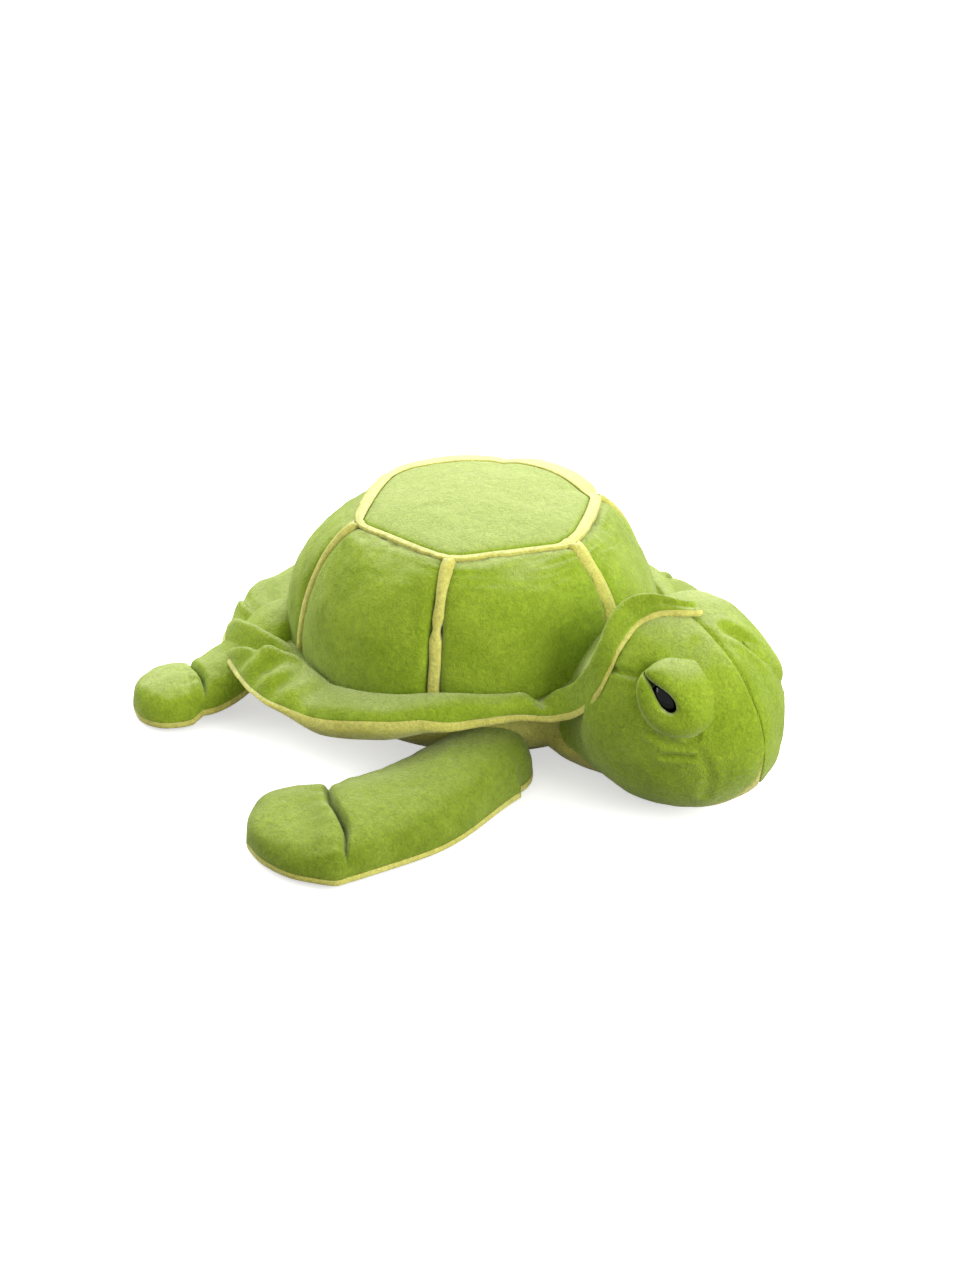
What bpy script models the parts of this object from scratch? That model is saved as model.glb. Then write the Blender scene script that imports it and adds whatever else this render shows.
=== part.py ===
"""A stuffed sea turtle of short-pile plush, 0.45 m long, standing in its own frame.

X is forward, Y is left and Z is up, in metres. The origin is on the floor, on the flat of the belly.
A padded shell of seven panels with inset strips sits in a stuffed rim over a stuffed body. The head
rides on a stuffed neck, and each flipper swings at its shoulder and folds at its stitched crease.
The right front flipper lies straight out and the left one is swept back along the body.
"""

import math

import bmesh
import bpy
from mathutils import Matrix, Vector

# Cloth, seams and clearances
SKIN = 0.0025
GAP = 0.0003
SEAM_EDGE = 0.0011
CORE_EDGE = 0.0004
OVERRUN = 0.010
WELD = 0.000001
PROBE = 0.0002

# Shell: a six-sided top panel on a dome with a rounder foot
SHELL_SIDES = 6
SHELL_CORNER_RADIUS = 0.086
SHELL_TOP_HEIGHT = 0.135
SHELL_CROWN = 0.012
SHELL_FRONT = 0.130
SHELL_SIDE = 0.124
SHELL_REAR = 0.138
SHELL_FOOT_HEIGHT = 0.030
SHELL_START_ANGLE = math.radians(20)
PANEL_PUFF = 0.006
PANEL_START_SHARE = 0.035
STRIP_WIDTH = 0.009
STRIP_RISE = 0.0006
BINDING_WIDTH = 0.007
BINDING_RISE = 0.0012

# Seam that joins shell, rim and belly: low round the sides, arched over the neck and the shoulders
SEAM_HEIGHT = 0.038
SEAM_ALLOWANCE = 0.002
NECK_ARCH_DROP = 0.030
NECK_ARCH_RISE = SHELL_TOP_HEIGHT - NECK_ARCH_DROP - SEAM_HEIGHT
NECK_ARCH_SPREAD = math.radians(31)
NECK_ARCH_POWER = 2.3
SHOULDER_RISE = 0.014
SHOULDER_ANGLE = math.radians(48)
SHOULDER_SPREAD = math.radians(18)
HIP_RISE = 0.009
HIP_ANGLE = math.radians(134)
HIP_SPREAD = math.radians(22)
TUCK_RISE = 0.013
TUCK_ANGLE = math.radians(90)
TUCK_SPREAD = math.radians(38)

# Rim: a stuffed flange with a green upper and a yellow lower panel
RIM_WIDTH_FRONT = 0.028
RIM_WIDTH_REAR = 0.054
RIM_WIDTH_POWER = 1.5
RIM_NECK_NARROWING = 0.022
RIM_NECK_SPREAD = math.radians(38)
RIM_HALF_THICKNESS = 0.0115
RIM_NECK_THINNING = 0.003
RIM_UNDER_SHARE = 0.55
RIM_UNDER_SPREAD = math.radians(80)
RIM_PROFILE_POWER = 2.2
RIM_CURL_SIDE = 0.012
RIM_CURL_REAR = -0.006
RIM_SEAM_CLEARANCE = 0.0012

# Belly: a bowl with a flat to rest on
BELLY_FLAT_SHARE = 0.70
FLAT_RING_SHARE = 0.5
CORE_SETTLING = 0.0008
BELLY_RING_SHARES = (0.0, 0.28, 0.52, 0.76, 1.0)
UNDER_SEAM_SHARES = (0.0, 0.33, 0.67)

# Neck: a stuffed ball in a socket of the body, turned a little to the right at rest
NECK_INSET = 0.012
NECK_X = SHELL_FRONT - NECK_INSET
NECK_HEIGHT = 0.051
NECK_RADIUS = 0.044
NECK_CLEARANCE = 0.0004
THROAT_TOP_DROP = 0.012
HEAD_YAW = math.radians(-12)

# Head: an egg, longer in front of its centre than behind, resting on its chin
HEAD_REACH = 0.053
HEAD_FLATTENING = 0.0015
HEAD_FRONT = 0.091
HEAD_REAR_HIGH = 0.022
HEAD_REAR_LOW = 0.039
HEAD_HALF_WIDTH = 0.062
HEAD_HALF_HEIGHT = 0.0665
HEAD_HEIGHT = HEAD_HALF_HEIGHT - HEAD_FLATTENING
HEAD_POWER = 2.0
MOUTH_TILT = math.radians(-20)
MOUTH_HOLE = math.radians(0.8)
CHIN_SEAM_ANGLE = math.radians(150)

# Eyes: plastic domes on shanks, each with a locking washer behind the cloth and a padded lid
EYE_AZIMUTH = math.radians(54)
EYE_ELEVATION = math.radians(27)
EYE_RADIUS = 0.008
EYE_DOME_HEIGHT = 0.0065
SHANK_RADIUS = 0.002
SHANK_LENGTH = 0.014
SHANK_CLEARANCE = 0.0004
WASHER_RADIUS = 0.009
WASHER_THICKNESS = 0.002
WASHER_DEPTH = 0.0048
WASHER_CLEARANCE = 0.0004
LID_INNER_RADIUS = 0.0095
LID_OUTER_RADIUS = 0.024
LID_EDGE_HEIGHT = 0.005
LID_TOP_HEIGHT = 0.007
LID_HEM_HEIGHT = 0.0010
LID_SLIT_STRETCH = 0.25
LID_HOOD_SHARE = 0.25
LID_START_SHARE = 0.25

# Flippers: flat stuffed straps with a round shoulder and a stitched crease before the tip
CREASE_CLEARANCE = 0.0009
FLIPPER_SEAM_HEIGHT = 0.008
FLIPPER_UNDER_DEPTH = 0.0085
FLIPPER_PROFILE_POWER = 2.6
TIP_ROUNDING_POWER = 0.8
TIP_SWELL_SHARE = 0.16
CREASE_PILLOW_SHARE = 0.55
SHOULDER_SWELL_SHARE = 0.7
SHOULDER_CLEARANCE = 0.0005
POCKET_HEADROOM = 0.0045
FRONT_SHOULDER_INSET_X = 0.042
FRONT_SHOULDER_INSET_Y = 0.034
FRONT_SHOULDER_X = SHELL_FRONT - FRONT_SHOULDER_INSET_X
FRONT_SHOULDER_Y = SHELL_SIDE - FRONT_SHOULDER_INSET_Y
FRONT_SHOULDER_RADIUS = 0.039
FRONT_HALF_WIDTH = 0.038
FRONT_ARM_LENGTH = 0.116
FRONT_TIP_LENGTH = 0.055
FRONT_SHOULDER_HEIGHT = 0.0415
FRONT_ARM_HEIGHT = 0.030
FRONT_TIP_HEIGHT = 0.025
FRONT_HEADING_LEAN = math.radians(5.5)
FRONT_CREASE_SLANT = math.radians(29)
LEFT_ARM_BEND = math.radians(70)
LEFT_BEND_START_SHARE = 0.1
REAR_SHOULDER_INSET_X = 0.038
REAR_SHOULDER_INSET_Y = 0.035
REAR_SHOULDER_X = REAR_SHOULDER_INSET_X - SHELL_REAR
REAR_SHOULDER_Y = SHELL_SIDE - REAR_SHOULDER_INSET_Y
REAR_SHOULDER_RADIUS = 0.026
REAR_ARM_LENGTH = 0.072
REAR_TIP_LENGTH = 0.044
REAR_ARM_HEIGHT = 0.028
REAR_TIP_HEIGHT = 0.029
REAR_HALF_WIDTH = 0.0265
REAR_HEADING_LEAN = math.radians(11)
REAR_CREASE_SLANT = math.radians(20)

# Mesh counts
PANEL_COLUMNS = 7
PANEL_ROWS = 7
TOP_STEPS_PER_SIDE = 6
TOP_RING_SHARES = (1.0, 0.72, 0.40)
RIM_STEPS = 54
RIM_RING_SHARES = (0.0, 0.3, 0.6, 0.85, 1.0)
RIM_CORE_SHARES = (0.04, 0.6, 0.85)
CORE_STEPS = 42
HEAD_COLUMNS = 10
HEAD_ROWS = 12
CHIN_COLUMNS = 6
NECK_STEPS = 24
NECK_ROWS = 5
LID_STEPS = 22
LID_RING_SHARES = (0.0, 0.3, 0.65, 1.0)
EYE_STEPS = 16
EYE_DOME_ROWS = 4
FLIPPER_RING_SHARES = (0.0, 0.45, 0.78, 0.94, 1.0)
FLIPPER_CORE_SHARES = (0.0, 0.78, 0.94)
SPINE_STEPS = 48
SIDE_STEPS = 6
ROUND_STEPS = 8
TIP_STEPS = 10
POCKET_STEPS = 16
CREASE_STEPS = 4
SHARP_ANGLE = math.radians(50)


# Small helpers
def lerp(a, b, share):
    return a + (b - a) * share


def smooth(share):
    share = min(1.0, max(0.0, share))
    return share * share * (3 - 2 * share)


def polar(radius, angle, height):
    return Vector((radius * math.cos(angle), radius * math.sin(angle), height))


def turn_between(angle, centre):
    return abs((angle - centre + math.pi) % (2 * math.pi) - math.pi)


def bump(angle, centre, spread):
    return math.exp(-(turn_between(angle, centre) / spread) ** 2)


# Mesh building
def grid(bm, rows, closed):
    """Adds faces between rows of points. A row of one point is a pole."""
    rings = [[bm.verts.new(point) for point in row] for row in rows]
    for above, below in zip(rings, rings[1:]):
        count = max(len(above), len(below))
        for i in range(count if closed else count - 1):
            j = (i + 1) % count
            corners = []
            for ring, order in ((above, (i, j)), (below, (j, i))):
                corners += [ring[0]] if len(ring) == 1 else [ring[k] for k in order]
            bm.faces.new(corners)
    return rings


def bridge(bm, ring_a, ring_b, closed):
    count = len(ring_a)
    for i in range(count if closed else count - 1):
        j = (i + 1) % count
        bm.faces.new((ring_a[i], ring_a[j], ring_b[j], ring_b[i]))


def sheet_mesh(outer_rows, inner_rows, closed):
    """A closed solid between an outer and an inner sheet of points."""
    bm = bmesh.new()
    outer = grid(bm, outer_rows, closed)
    inner = grid(bm, inner_rows, closed)
    for edge in (0, -1):
        if len(outer[edge]) > 1:
            bridge(bm, outer[edge], inner[edge], closed)
    if not closed:
        for edge in (0, -1):
            column_out = [ring[edge] for ring in outer]
            column_in = [ring[edge] for ring in inner]
            bridge(bm, column_out, column_in, False)
    return bm


def body_mesh(rows):
    """A closed solid of rings from pole to pole."""
    bm = bmesh.new()
    grid(bm, rows, True)
    return bm


def tube_mesh(sections):
    """A closed ring of closed sections."""
    bm = bmesh.new()
    rings = [[bm.verts.new(point) for point in section] for section in sections]
    for a, b in zip(rings, rings[1:] + rings[:1]):
        bridge(bm, a, b, True)
    return bm


def pillow_mesh(rows_top, rows_bottom):
    """A closed solid of two sheets that share no points, joined round their outline."""
    bm = bmesh.new()
    top = grid(bm, rows_top, True)
    bottom = grid(bm, rows_bottom, True)
    bridge(bm, top[-1], bottom[-1], True)
    return bm


def make_object(name, bm, look, axis=None):
    """Turns a mesh into a named object, parented to the empty on its joint axis."""
    bmesh.ops.remove_doubles(bm, verts=bm.verts, dist=WELD)
    bmesh.ops.recalc_face_normals(bm, faces=bm.faces)
    mesh = bpy.data.meshes.new(name)
    bm.to_mesh(mesh)
    bm.free()
    mesh.shade_smooth()
    mesh.set_sharp_from_angle(angle=SHARP_ANGLE)
    part = bpy.data.objects.new(name, mesh)
    bpy.context.collection.objects.link(part)
    part.data.materials.append(look)
    if axis is not None:
        part.parent = axis
        part.matrix_parent_inverse = axis.matrix_world.inverted()
    return part


def make_axis(name, place, parent=None):
    axis = bpy.data.objects.new(name, None)
    bpy.context.collection.objects.link(axis)
    axis.empty_display_size = OVERRUN
    axis.location = place
    bpy.context.view_layer.update()
    if parent is not None:
        axis.parent = parent
        axis.matrix_parent_inverse = parent.matrix_world.inverted()
        bpy.context.view_layer.update()
    return axis


def make_look(name, colour, roughness):
    look = bpy.data.materials.new(name)
    look.use_nodes = True
    shader = look.node_tree.nodes["Principled BSDF"]
    shader.inputs["Base Color"].default_value = colour
    shader.inputs["Roughness"].default_value = roughness
    shader.inputs["Metallic"].default_value = 0.0
    return look


def make_cutter(name, bm):
    cutter = make_object(name, bm, LOOKS["filling"])
    cutter.hide_render = True
    cutter.display_type = "WIRE"
    return cutter


def cut(part, cutter):
    boolean = part.modifiers.new("cut by " + cutter.name, "BOOLEAN")
    boolean.operation = "DIFFERENCE"
    boolean.solver = "EXACT"
    boolean.object = cutter


def ball_mesh(centre, radius, steps, rows):
    rings = [[centre + Vector((0, 0, radius))]]
    for row in range(1, rows):
        fall = math.pi * row / rows
        ring = [centre + polar(radius * math.sin(fall), 2 * math.pi * i / steps, radius * math.cos(fall))
                for i in range(steps)]
        rings.append(ring)
    rings.append([centre - Vector((0, 0, radius))])
    return body_mesh(rings)


def turned_mesh(base, direction, profile, steps):
    """A solid turned about a line: profile is a list of (radius, height), poles at both ends."""
    along = direction.normalized()
    side = along.orthogonal().normalized()
    other = along.cross(side)
    rings = []
    for radius, height in profile:
        centre = base + along * height
        if radius == 0:
            rings.append([centre])
            continue
        ring = []
        for i in range(steps):
            angle = 2 * math.pi * i / steps
            ring.append(centre + side * (radius * math.cos(angle)) + other * (radius * math.sin(angle)))
        rings.append(ring)
    return body_mesh(rings)


# Shell surface
def side_share(theta):
    width = 2 * math.pi / SHELL_SIDES
    return (theta % width) / width


def hexagon_radius(theta):
    half = math.pi / SHELL_SIDES
    offset = (side_share(theta) * 2 - 1) * half
    return SHELL_CORNER_RADIUS * math.cos(half) / math.cos(offset)


def foot_radius(theta):
    reach = SHELL_FRONT if math.cos(theta) > 0 else SHELL_REAR
    return 1 / math.sqrt((math.cos(theta) / reach) ** 2 + (math.sin(theta) / SHELL_SIDE) ** 2)


def fall_at_height(height):
    rise_share = (height - SHELL_FOOT_HEIGHT) / (SHELL_TOP_HEIGHT - SHELL_FOOT_HEIGHT)
    rise_share = min(1.0, max(0.0, rise_share))
    fall = math.acos(rise_share * math.cos(SHELL_START_ANGLE))
    return (fall - SHELL_START_ANGLE) / (math.pi / 2 - SHELL_START_ANGLE)


def dome_radius(theta, drop, puff=PANEL_PUFF):
    fall = lerp(SHELL_START_ANGLE, math.pi / 2, drop)
    start = math.sin(SHELL_START_ANGLE)
    spread = (math.sin(fall) - start) / (1 - start)
    across = side_share(theta)
    swell = puff * 4 * across * (1 - across) * math.sin(math.pi * min(1.0, drop + PANEL_START_SHARE))
    return lerp(hexagon_radius(theta), foot_radius(theta), spread) + swell


def dome_height(drop):
    fall = lerp(SHELL_START_ANGLE, math.pi / 2, drop)
    rise = SHELL_TOP_HEIGHT - SHELL_FOOT_HEIGHT
    return SHELL_FOOT_HEIGHT + rise * math.cos(fall) / math.cos(SHELL_START_ANGLE)


def dome_point(theta, drop, puff=PANEL_PUFF):
    return polar(dome_radius(theta, drop, puff), theta, dome_height(drop))


def dome_normal(theta, drop, puff=PANEL_PUFF):
    turn = PROBE / SHELL_SIDE
    ahead = dome_point(theta + turn, drop, puff) - dome_point(theta - turn, drop, puff)
    down = dome_point(theta, drop + turn, puff) - dome_point(theta, drop - turn, puff)
    return down.cross(ahead).normalized()


def seam_height(theta):
    """Height of the seam where shell, rim and belly meet."""
    around = turn_between(theta, 0)
    arch = NECK_ARCH_RISE * math.exp(-(around / NECK_ARCH_SPREAD) ** NECK_ARCH_POWER)
    shoulders = SHOULDER_RISE * math.exp(-((around - SHOULDER_ANGLE) / SHOULDER_SPREAD) ** 2)
    hips = HIP_RISE * math.exp(-((around - HIP_ANGLE) / HIP_SPREAD) ** 2)
    tuck = TUCK_RISE * bump(theta, TUCK_ANGLE, TUCK_SPREAD)
    return SEAM_HEIGHT + arch + shoulders + hips + tuck


def seam_drop(theta):
    return fall_at_height(seam_height(theta) + SEAM_ALLOWANCE)


def wall_radius(theta, height):
    """Outer radius of the covered body at a height, for what is sewn against it."""
    return dome_radius(theta, fall_at_height(height))


def crown_height(share):
    return SHELL_TOP_HEIGHT + SHELL_CROWN * (1 - share * share)


def dome_patch(theta_range, depth, rise, rows, columns, puff):
    """Rows of points on the dome, a depth inside its surface, from the top edge to the seam."""
    points = []
    for row in range(rows + 1):
        line = []
        for column in range(columns + 1):
            share = column / columns
            probe = lerp(*theta_range(PANEL_START_SHARE), share)
            drop = lerp(PANEL_START_SHARE, seam_drop(probe), row / rows)
            theta = lerp(*theta_range(drop), share)
            outward = dome_normal(theta, drop, puff)
            line.append(dome_point(theta, drop, puff) + outward * (rise - depth))
        points.append(line)
    return points


def corner_angle(index):
    return 2 * math.pi * index / SHELL_SIDES


def strip_half_turn(theta, drop, margin):
    return (STRIP_WIDTH / 2 + margin) / dome_radius(theta, drop, 0)


def make_shell():
    names = ("front_left", "left", "rear_left", "rear_right", "right", "front_right")
    for index, name in enumerate(names):
        start = corner_angle(index)
        end = corner_angle(index + 1)

        def panel_range(drop, start=start, end=end):
            return (start + strip_half_turn(start, drop, GAP), end - strip_half_turn(end, drop, GAP))

        outer = dome_patch(panel_range, 0, 0, PANEL_ROWS, PANEL_COLUMNS, PANEL_PUFF)
        inner = dome_patch(panel_range, SKIN, 0, PANEL_ROWS, PANEL_COLUMNS, PANEL_PUFF)
        make_object("shell_panel_" + name, sheet_mesh(outer, inner, False), LOOKS["green"])

    names = ("front", "left_front", "left_rear", "rear", "right_rear", "right_front")
    for index, name in enumerate(names):
        centre = corner_angle(index)

        def strip_range(drop, centre=centre):
            return (centre - strip_half_turn(centre, drop, 0), centre + strip_half_turn(centre, drop, 0))

        outer = dome_patch(strip_range, 0, STRIP_RISE, PANEL_ROWS, 2, 0)
        inner = dome_patch(strip_range, SKIN, 0, PANEL_ROWS, 2, 0)
        make_object("shell_strip_" + name, sheet_mesh(outer, inner, False), LOOKS["yellow"])

    steps = SHELL_SIDES * TOP_STEPS_PER_SIDE
    angles = [2 * math.pi * i / steps for i in range(steps)]

    def top_ring(inset, share, lift):
        ring = []
        for theta in angles:
            edge = hexagon_radius(theta)
            radius = (edge - inset) * share
            ring.append(polar(radius, theta, crown_height(radius / edge) + lift))
        return ring

    def top_rows(lift):
        rows = [top_ring(BINDING_WIDTH + GAP, share, lift) for share in TOP_RING_SHARES]
        return rows + [[Vector((0, 0, crown_height(0) + lift))]]

    top = sheet_mesh(top_rows(0), top_rows(-SKIN), True)
    make_object("shell_top_panel", top, LOOKS["green"])

    binding_outer = [top_ring(0, 1, 0), top_ring(BINDING_WIDTH / 2, 1, BINDING_RISE),
                     top_ring(BINDING_WIDTH, 1, 0)]
    binding_inner = [top_ring(0, 1, -SKIN), top_ring(BINDING_WIDTH / 2, 1, -SKIN),
                     top_ring(BINDING_WIDTH, 1, -SKIN)]
    binding = sheet_mesh(binding_outer, binding_inner, True)
    make_object("shell_top_binding", binding, LOOKS["yellow"])


# Rim
def rim_outer_radius(theta):
    rear_share = (1 - math.cos(theta)) / 2
    width = lerp(RIM_WIDTH_FRONT, RIM_WIDTH_REAR, rear_share ** RIM_WIDTH_POWER)
    return foot_radius(theta) + width - RIM_NECK_NARROWING * bump(theta, 0, RIM_NECK_SPREAD)


def rim_half_thickness(theta, share, side):
    """Height of the padding over (side 1) or under (side -1) the rim's middle, flatter under the front."""
    thickest = RIM_HALF_THICKNESS - RIM_NECK_THINNING * bump(theta, 0, NECK_ARCH_SPREAD)
    if side < 0:
        thickest *= lerp(1, RIM_UNDER_SHARE, bump(theta, 0, RIM_UNDER_SPREAD))
    return SEAM_EDGE + (thickest - SEAM_EDGE) * math.sqrt(1 - share ** RIM_PROFILE_POWER)


def rim_point(theta, share, lift):
    rear = max(0.0, -math.cos(theta))
    curl = RIM_CURL_SIDE * math.sin(theta) ** 2 + RIM_CURL_REAR * rear ** 2
    height = seam_height(theta) + curl * share ** 2 + lift
    start = wall_radius(theta, seam_height(theta) + lift) + RIM_SEAM_CLEARANCE
    return polar(lerp(start, rim_outer_radius(theta), share), theta, height)


def make_rim():
    angles = [2 * math.pi * i / RIM_STEPS for i in range(RIM_STEPS)]

    def rows(side, depth):
        lines = []
        for share in RIM_RING_SHARES:
            line = []
            for theta in angles:
                lift = rim_half_thickness(theta, share, side) - depth
                line.append(rim_point(theta, share, side * max(lift, GAP / 2)))
            lines.append(line)
        return lines

    upper = sheet_mesh(rows(1, 0), rows(1, SKIN), True)
    make_object("rim_upper_panel", upper, LOOKS["green"])
    lower = sheet_mesh(rows(-1, 0), rows(-1, SKIN), True)
    make_object("rim_lower_panel", lower, LOOKS["yellow"])

    sections = []
    for theta in angles:
        section = []
        for side, shares in ((1, RIM_CORE_SHARES), (-1, RIM_CORE_SHARES[::-1])):
            for share in shares:
                lift = rim_half_thickness(theta, share, side) - SKIN - CORE_SETTLING
                section.append(rim_point(theta, share, side * max(lift, CORE_EDGE)))
        sections.append(section)
    make_object("rim_wadding", tube_mesh(sections), LOOKS["filling"])


# Body
def belly_point(theta, share, depth):
    """From the foot of the dome (share 0) round to the edge of the flat (share 1)."""
    turn = math.pi / 2 * share
    radius = foot_radius(theta)
    flat = radius * BELLY_FLAT_SHARE
    reach = lerp(flat, radius, math.cos(turn)) - depth * math.cos(turn)
    height = SHELL_FOOT_HEIGHT * (1 - math.sin(turn)) + depth * math.sin(turn)
    return polar(reach, theta, height)


def body_rows(depth, angles):
    """Rings of the covered body, a depth inside it, from the seam to the middle of the flat."""
    rows = []
    for share in UNDER_SEAM_SHARES:
        ring = []
        for theta in angles:
            drop = lerp(fall_at_height(seam_height(theta) - SEAM_ALLOWANCE), 1.0, share)
            ring.append(dome_point(theta, drop) - dome_normal(theta, drop) * depth)
        rows.append(ring)
    for share in BELLY_RING_SHARES:
        rows.append([belly_point(theta, share, depth) for theta in angles])
    middle = Vector((0, 0, rows[-1][0].z))
    rows.append([middle.lerp(point, FLAT_RING_SHARE) for point in rows[-1]])
    rows.append([middle])
    return rows


def make_body():
    angles = [2 * math.pi * i / CORE_STEPS for i in range(CORE_STEPS)]
    belly = sheet_mesh(body_rows(0, angles), body_rows(SKIN, angles), True)
    belly_panel = make_object("belly_panel", belly, LOOKS["yellow"])

    depth = SKIN + GAP
    seat = depth + CORE_SETTLING
    rows = [[Vector((0, 0, crown_height(0) - depth))]]
    for share in TOP_RING_SHARES[::-1]:
        ring = []
        for theta in angles:
            radius = (hexagon_radius(theta) - depth) * share
            ring.append(polar(radius, theta, crown_height(radius / hexagon_radius(theta)) - depth))
        rows.append(ring)
    for row in range(1, PANEL_ROWS):
        ring = []
        for theta in angles:
            drop = lerp(PANEL_START_SHARE, seam_drop(theta), row / PANEL_ROWS)
            ring.append(dome_point(theta, drop) - dome_normal(theta, drop) * seat)
        rows.append(ring)
    rows += body_rows(seat, angles)
    stuffing = make_object("body_stuffing", body_mesh(rows), LOOKS["filling"])
    return belly_panel, stuffing


# Neck
def make_neck(axis):
    centre = Vector((NECK_X, 0, NECK_HEIGHT))
    split = math.acos(-THROAT_TOP_DROP / NECK_RADIUS)

    def zone(radius, start, end):
        rows = []
        for row in range(NECK_ROWS + 1):
            fall = lerp(start, end, row / NECK_ROWS)
            if fall in (0, math.pi):
                rows.append([centre + Vector((0, 0, radius * math.cos(fall)))])
                continue
            rows.append([centre + polar(radius * math.sin(fall), 2 * math.pi * i / NECK_STEPS,
                                        radius * math.cos(fall)) for i in range(NECK_STEPS)])
        return rows

    half_gap = GAP / NECK_RADIUS
    inner = NECK_RADIUS - SKIN
    upper = sheet_mesh(zone(NECK_RADIUS, 0, split - half_gap), zone(inner, 0, split - half_gap), True)
    make_object("neck_upper_panel", upper, LOOKS["green"], axis)
    throat = sheet_mesh(zone(NECK_RADIUS, split, math.pi), zone(inner, split, math.pi), True)
    make_object("throat_panel", throat, LOOKS["yellow"], axis)
    core = ball_mesh(centre, inner - CORE_SETTLING, NECK_STEPS, 2 * NECK_ROWS)
    make_object("neck_stuffing", core, LOOKS["filling"], axis)


# Head
def head_frame():
    place = Matrix.Translation(Vector((NECK_X, 0, 0)))
    return place @ Matrix.Rotation(HEAD_YAW, 4, "Z")


def head_norm(local):
    """One on the head's surface, for a point taken from the head's centre."""
    tall = min(1.0, max(-1.0, local.z / HEAD_HALF_HEIGHT))
    rear = lerp(HEAD_REAR_LOW, HEAD_REAR_HIGH, smooth(0.5 + 0.5 * tall))
    length = HEAD_FRONT if local.x > 0 else rear
    terms = (abs(local.x) / length, abs(local.y) / HEAD_HALF_WIDTH, abs(local.z) / HEAD_HALF_HEIGHT)
    return sum(term ** HEAD_POWER for term in terms) ** (1 / HEAD_POWER)


def head_surface(direction):
    """The surface point along a direction from the head's centre."""
    point = direction.normalized() * HEAD_HALF_HEIGHT
    for _ in range(4):
        point = point / head_norm(point)
    return point


def head_normal(point):
    slopes = []
    for axis in range(3):
        step = Vector((0, 0, 0))
        step[axis] = PROBE
        slopes.append(head_norm(point + step) - head_norm(point - step))
    return Vector(slopes).normalized()


def head_to_world(local, depth=0):
    """Places a head point, kept above the floor by its depth under the cloth."""
    point = head_frame() @ (local + Vector((HEAD_REACH, 0, HEAD_HEIGHT)))
    return Vector((point.x, point.y, max(point.z, depth)))


def head_point(along, around, depth):
    """along runs from the nape (0) to the mouth (pi), around from the top seam to either side."""
    mouth = Vector((math.cos(MOUTH_TILT), 0, math.sin(MOUTH_TILT)))
    top = Vector((-math.sin(MOUTH_TILT), 0, math.cos(MOUTH_TILT)))
    left = Vector((0, 1, 0))
    ring = top * math.cos(around) + left * math.sin(around)
    unit = ring * math.sin(along) - mouth * math.cos(along)
    length = HEAD_FRONT if unit.x > 0 else HEAD_REAR_LOW
    shape = Vector((unit.x * length, unit.y * HEAD_HALF_WIDTH, unit.z * HEAD_HALF_HEIGHT))
    point = head_surface(shape)
    return head_to_world(point - head_normal(point) * depth, depth)


def eye_seat(side):
    flat = math.cos(EYE_ELEVATION)
    direction = Vector((flat * math.cos(EYE_AZIMUTH) * HEAD_FRONT,
                        side * flat * math.sin(EYE_AZIMUTH) * HEAD_HALF_WIDTH,
                        math.sin(EYE_ELEVATION) * HEAD_HALF_HEIGHT))
    point = head_surface(direction)
    return point, head_normal(point)


def make_head(axis):
    seam = GAP / (2 * HEAD_HALF_WIDTH)
    last = math.pi - MOUTH_HOLE

    def patch(depth, start, end, columns):
        rows = []
        for row in range(HEAD_ROWS + 1):
            along = lerp(MOUTH_HOLE, last, row / HEAD_ROWS)
            rows.append([head_point(along, lerp(start, end, i / columns), depth) for i in range(columns + 1)])
        return rows

    panels = []
    for side, name in ((1, "head_left_panel"), (-1, "head_right_panel")):
        start = side * seam
        end = side * (CHIN_SEAM_ANGLE - seam)
        mesh = sheet_mesh(patch(0, start, end, HEAD_COLUMNS), patch(SKIN, start, end, HEAD_COLUMNS), False)
        panels.append(make_object(name, mesh, LOOKS["green"], axis))
    start = CHIN_SEAM_ANGLE + seam
    end = 2 * math.pi - start
    mesh = sheet_mesh(patch(0, start, end, CHIN_COLUMNS), patch(SKIN, start, end, CHIN_COLUMNS), False)
    panels.append(make_object("chin_panel", mesh, LOOKS["yellow"], axis))

    depth = SKIN + CORE_SETTLING
    left = [CHIN_SEAM_ANGLE * i / HEAD_COLUMNS for i in range(HEAD_COLUMNS)]
    far_seam = 2 * math.pi - CHIN_SEAM_ANGLE
    chin = [lerp(CHIN_SEAM_ANGLE, far_seam, i / CHIN_COLUMNS) for i in range(CHIN_COLUMNS)]
    right = [CHIN_SEAM_ANGLE * (i / HEAD_COLUMNS - 1) for i in range(HEAD_COLUMNS)]
    ring = left + chin + right
    rows = [[head_point(0, 0, depth)]]
    for row in range(1, HEAD_ROWS):
        along = lerp(MOUTH_HOLE, last, row / HEAD_ROWS)
        rows.append([head_point(along, around, depth) for around in ring])
    rows.append([head_point(math.pi, 0, depth)])
    stuffing = make_object("head_stuffing", body_mesh(rows), LOOKS["filling"], axis)
    return panels, stuffing


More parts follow.
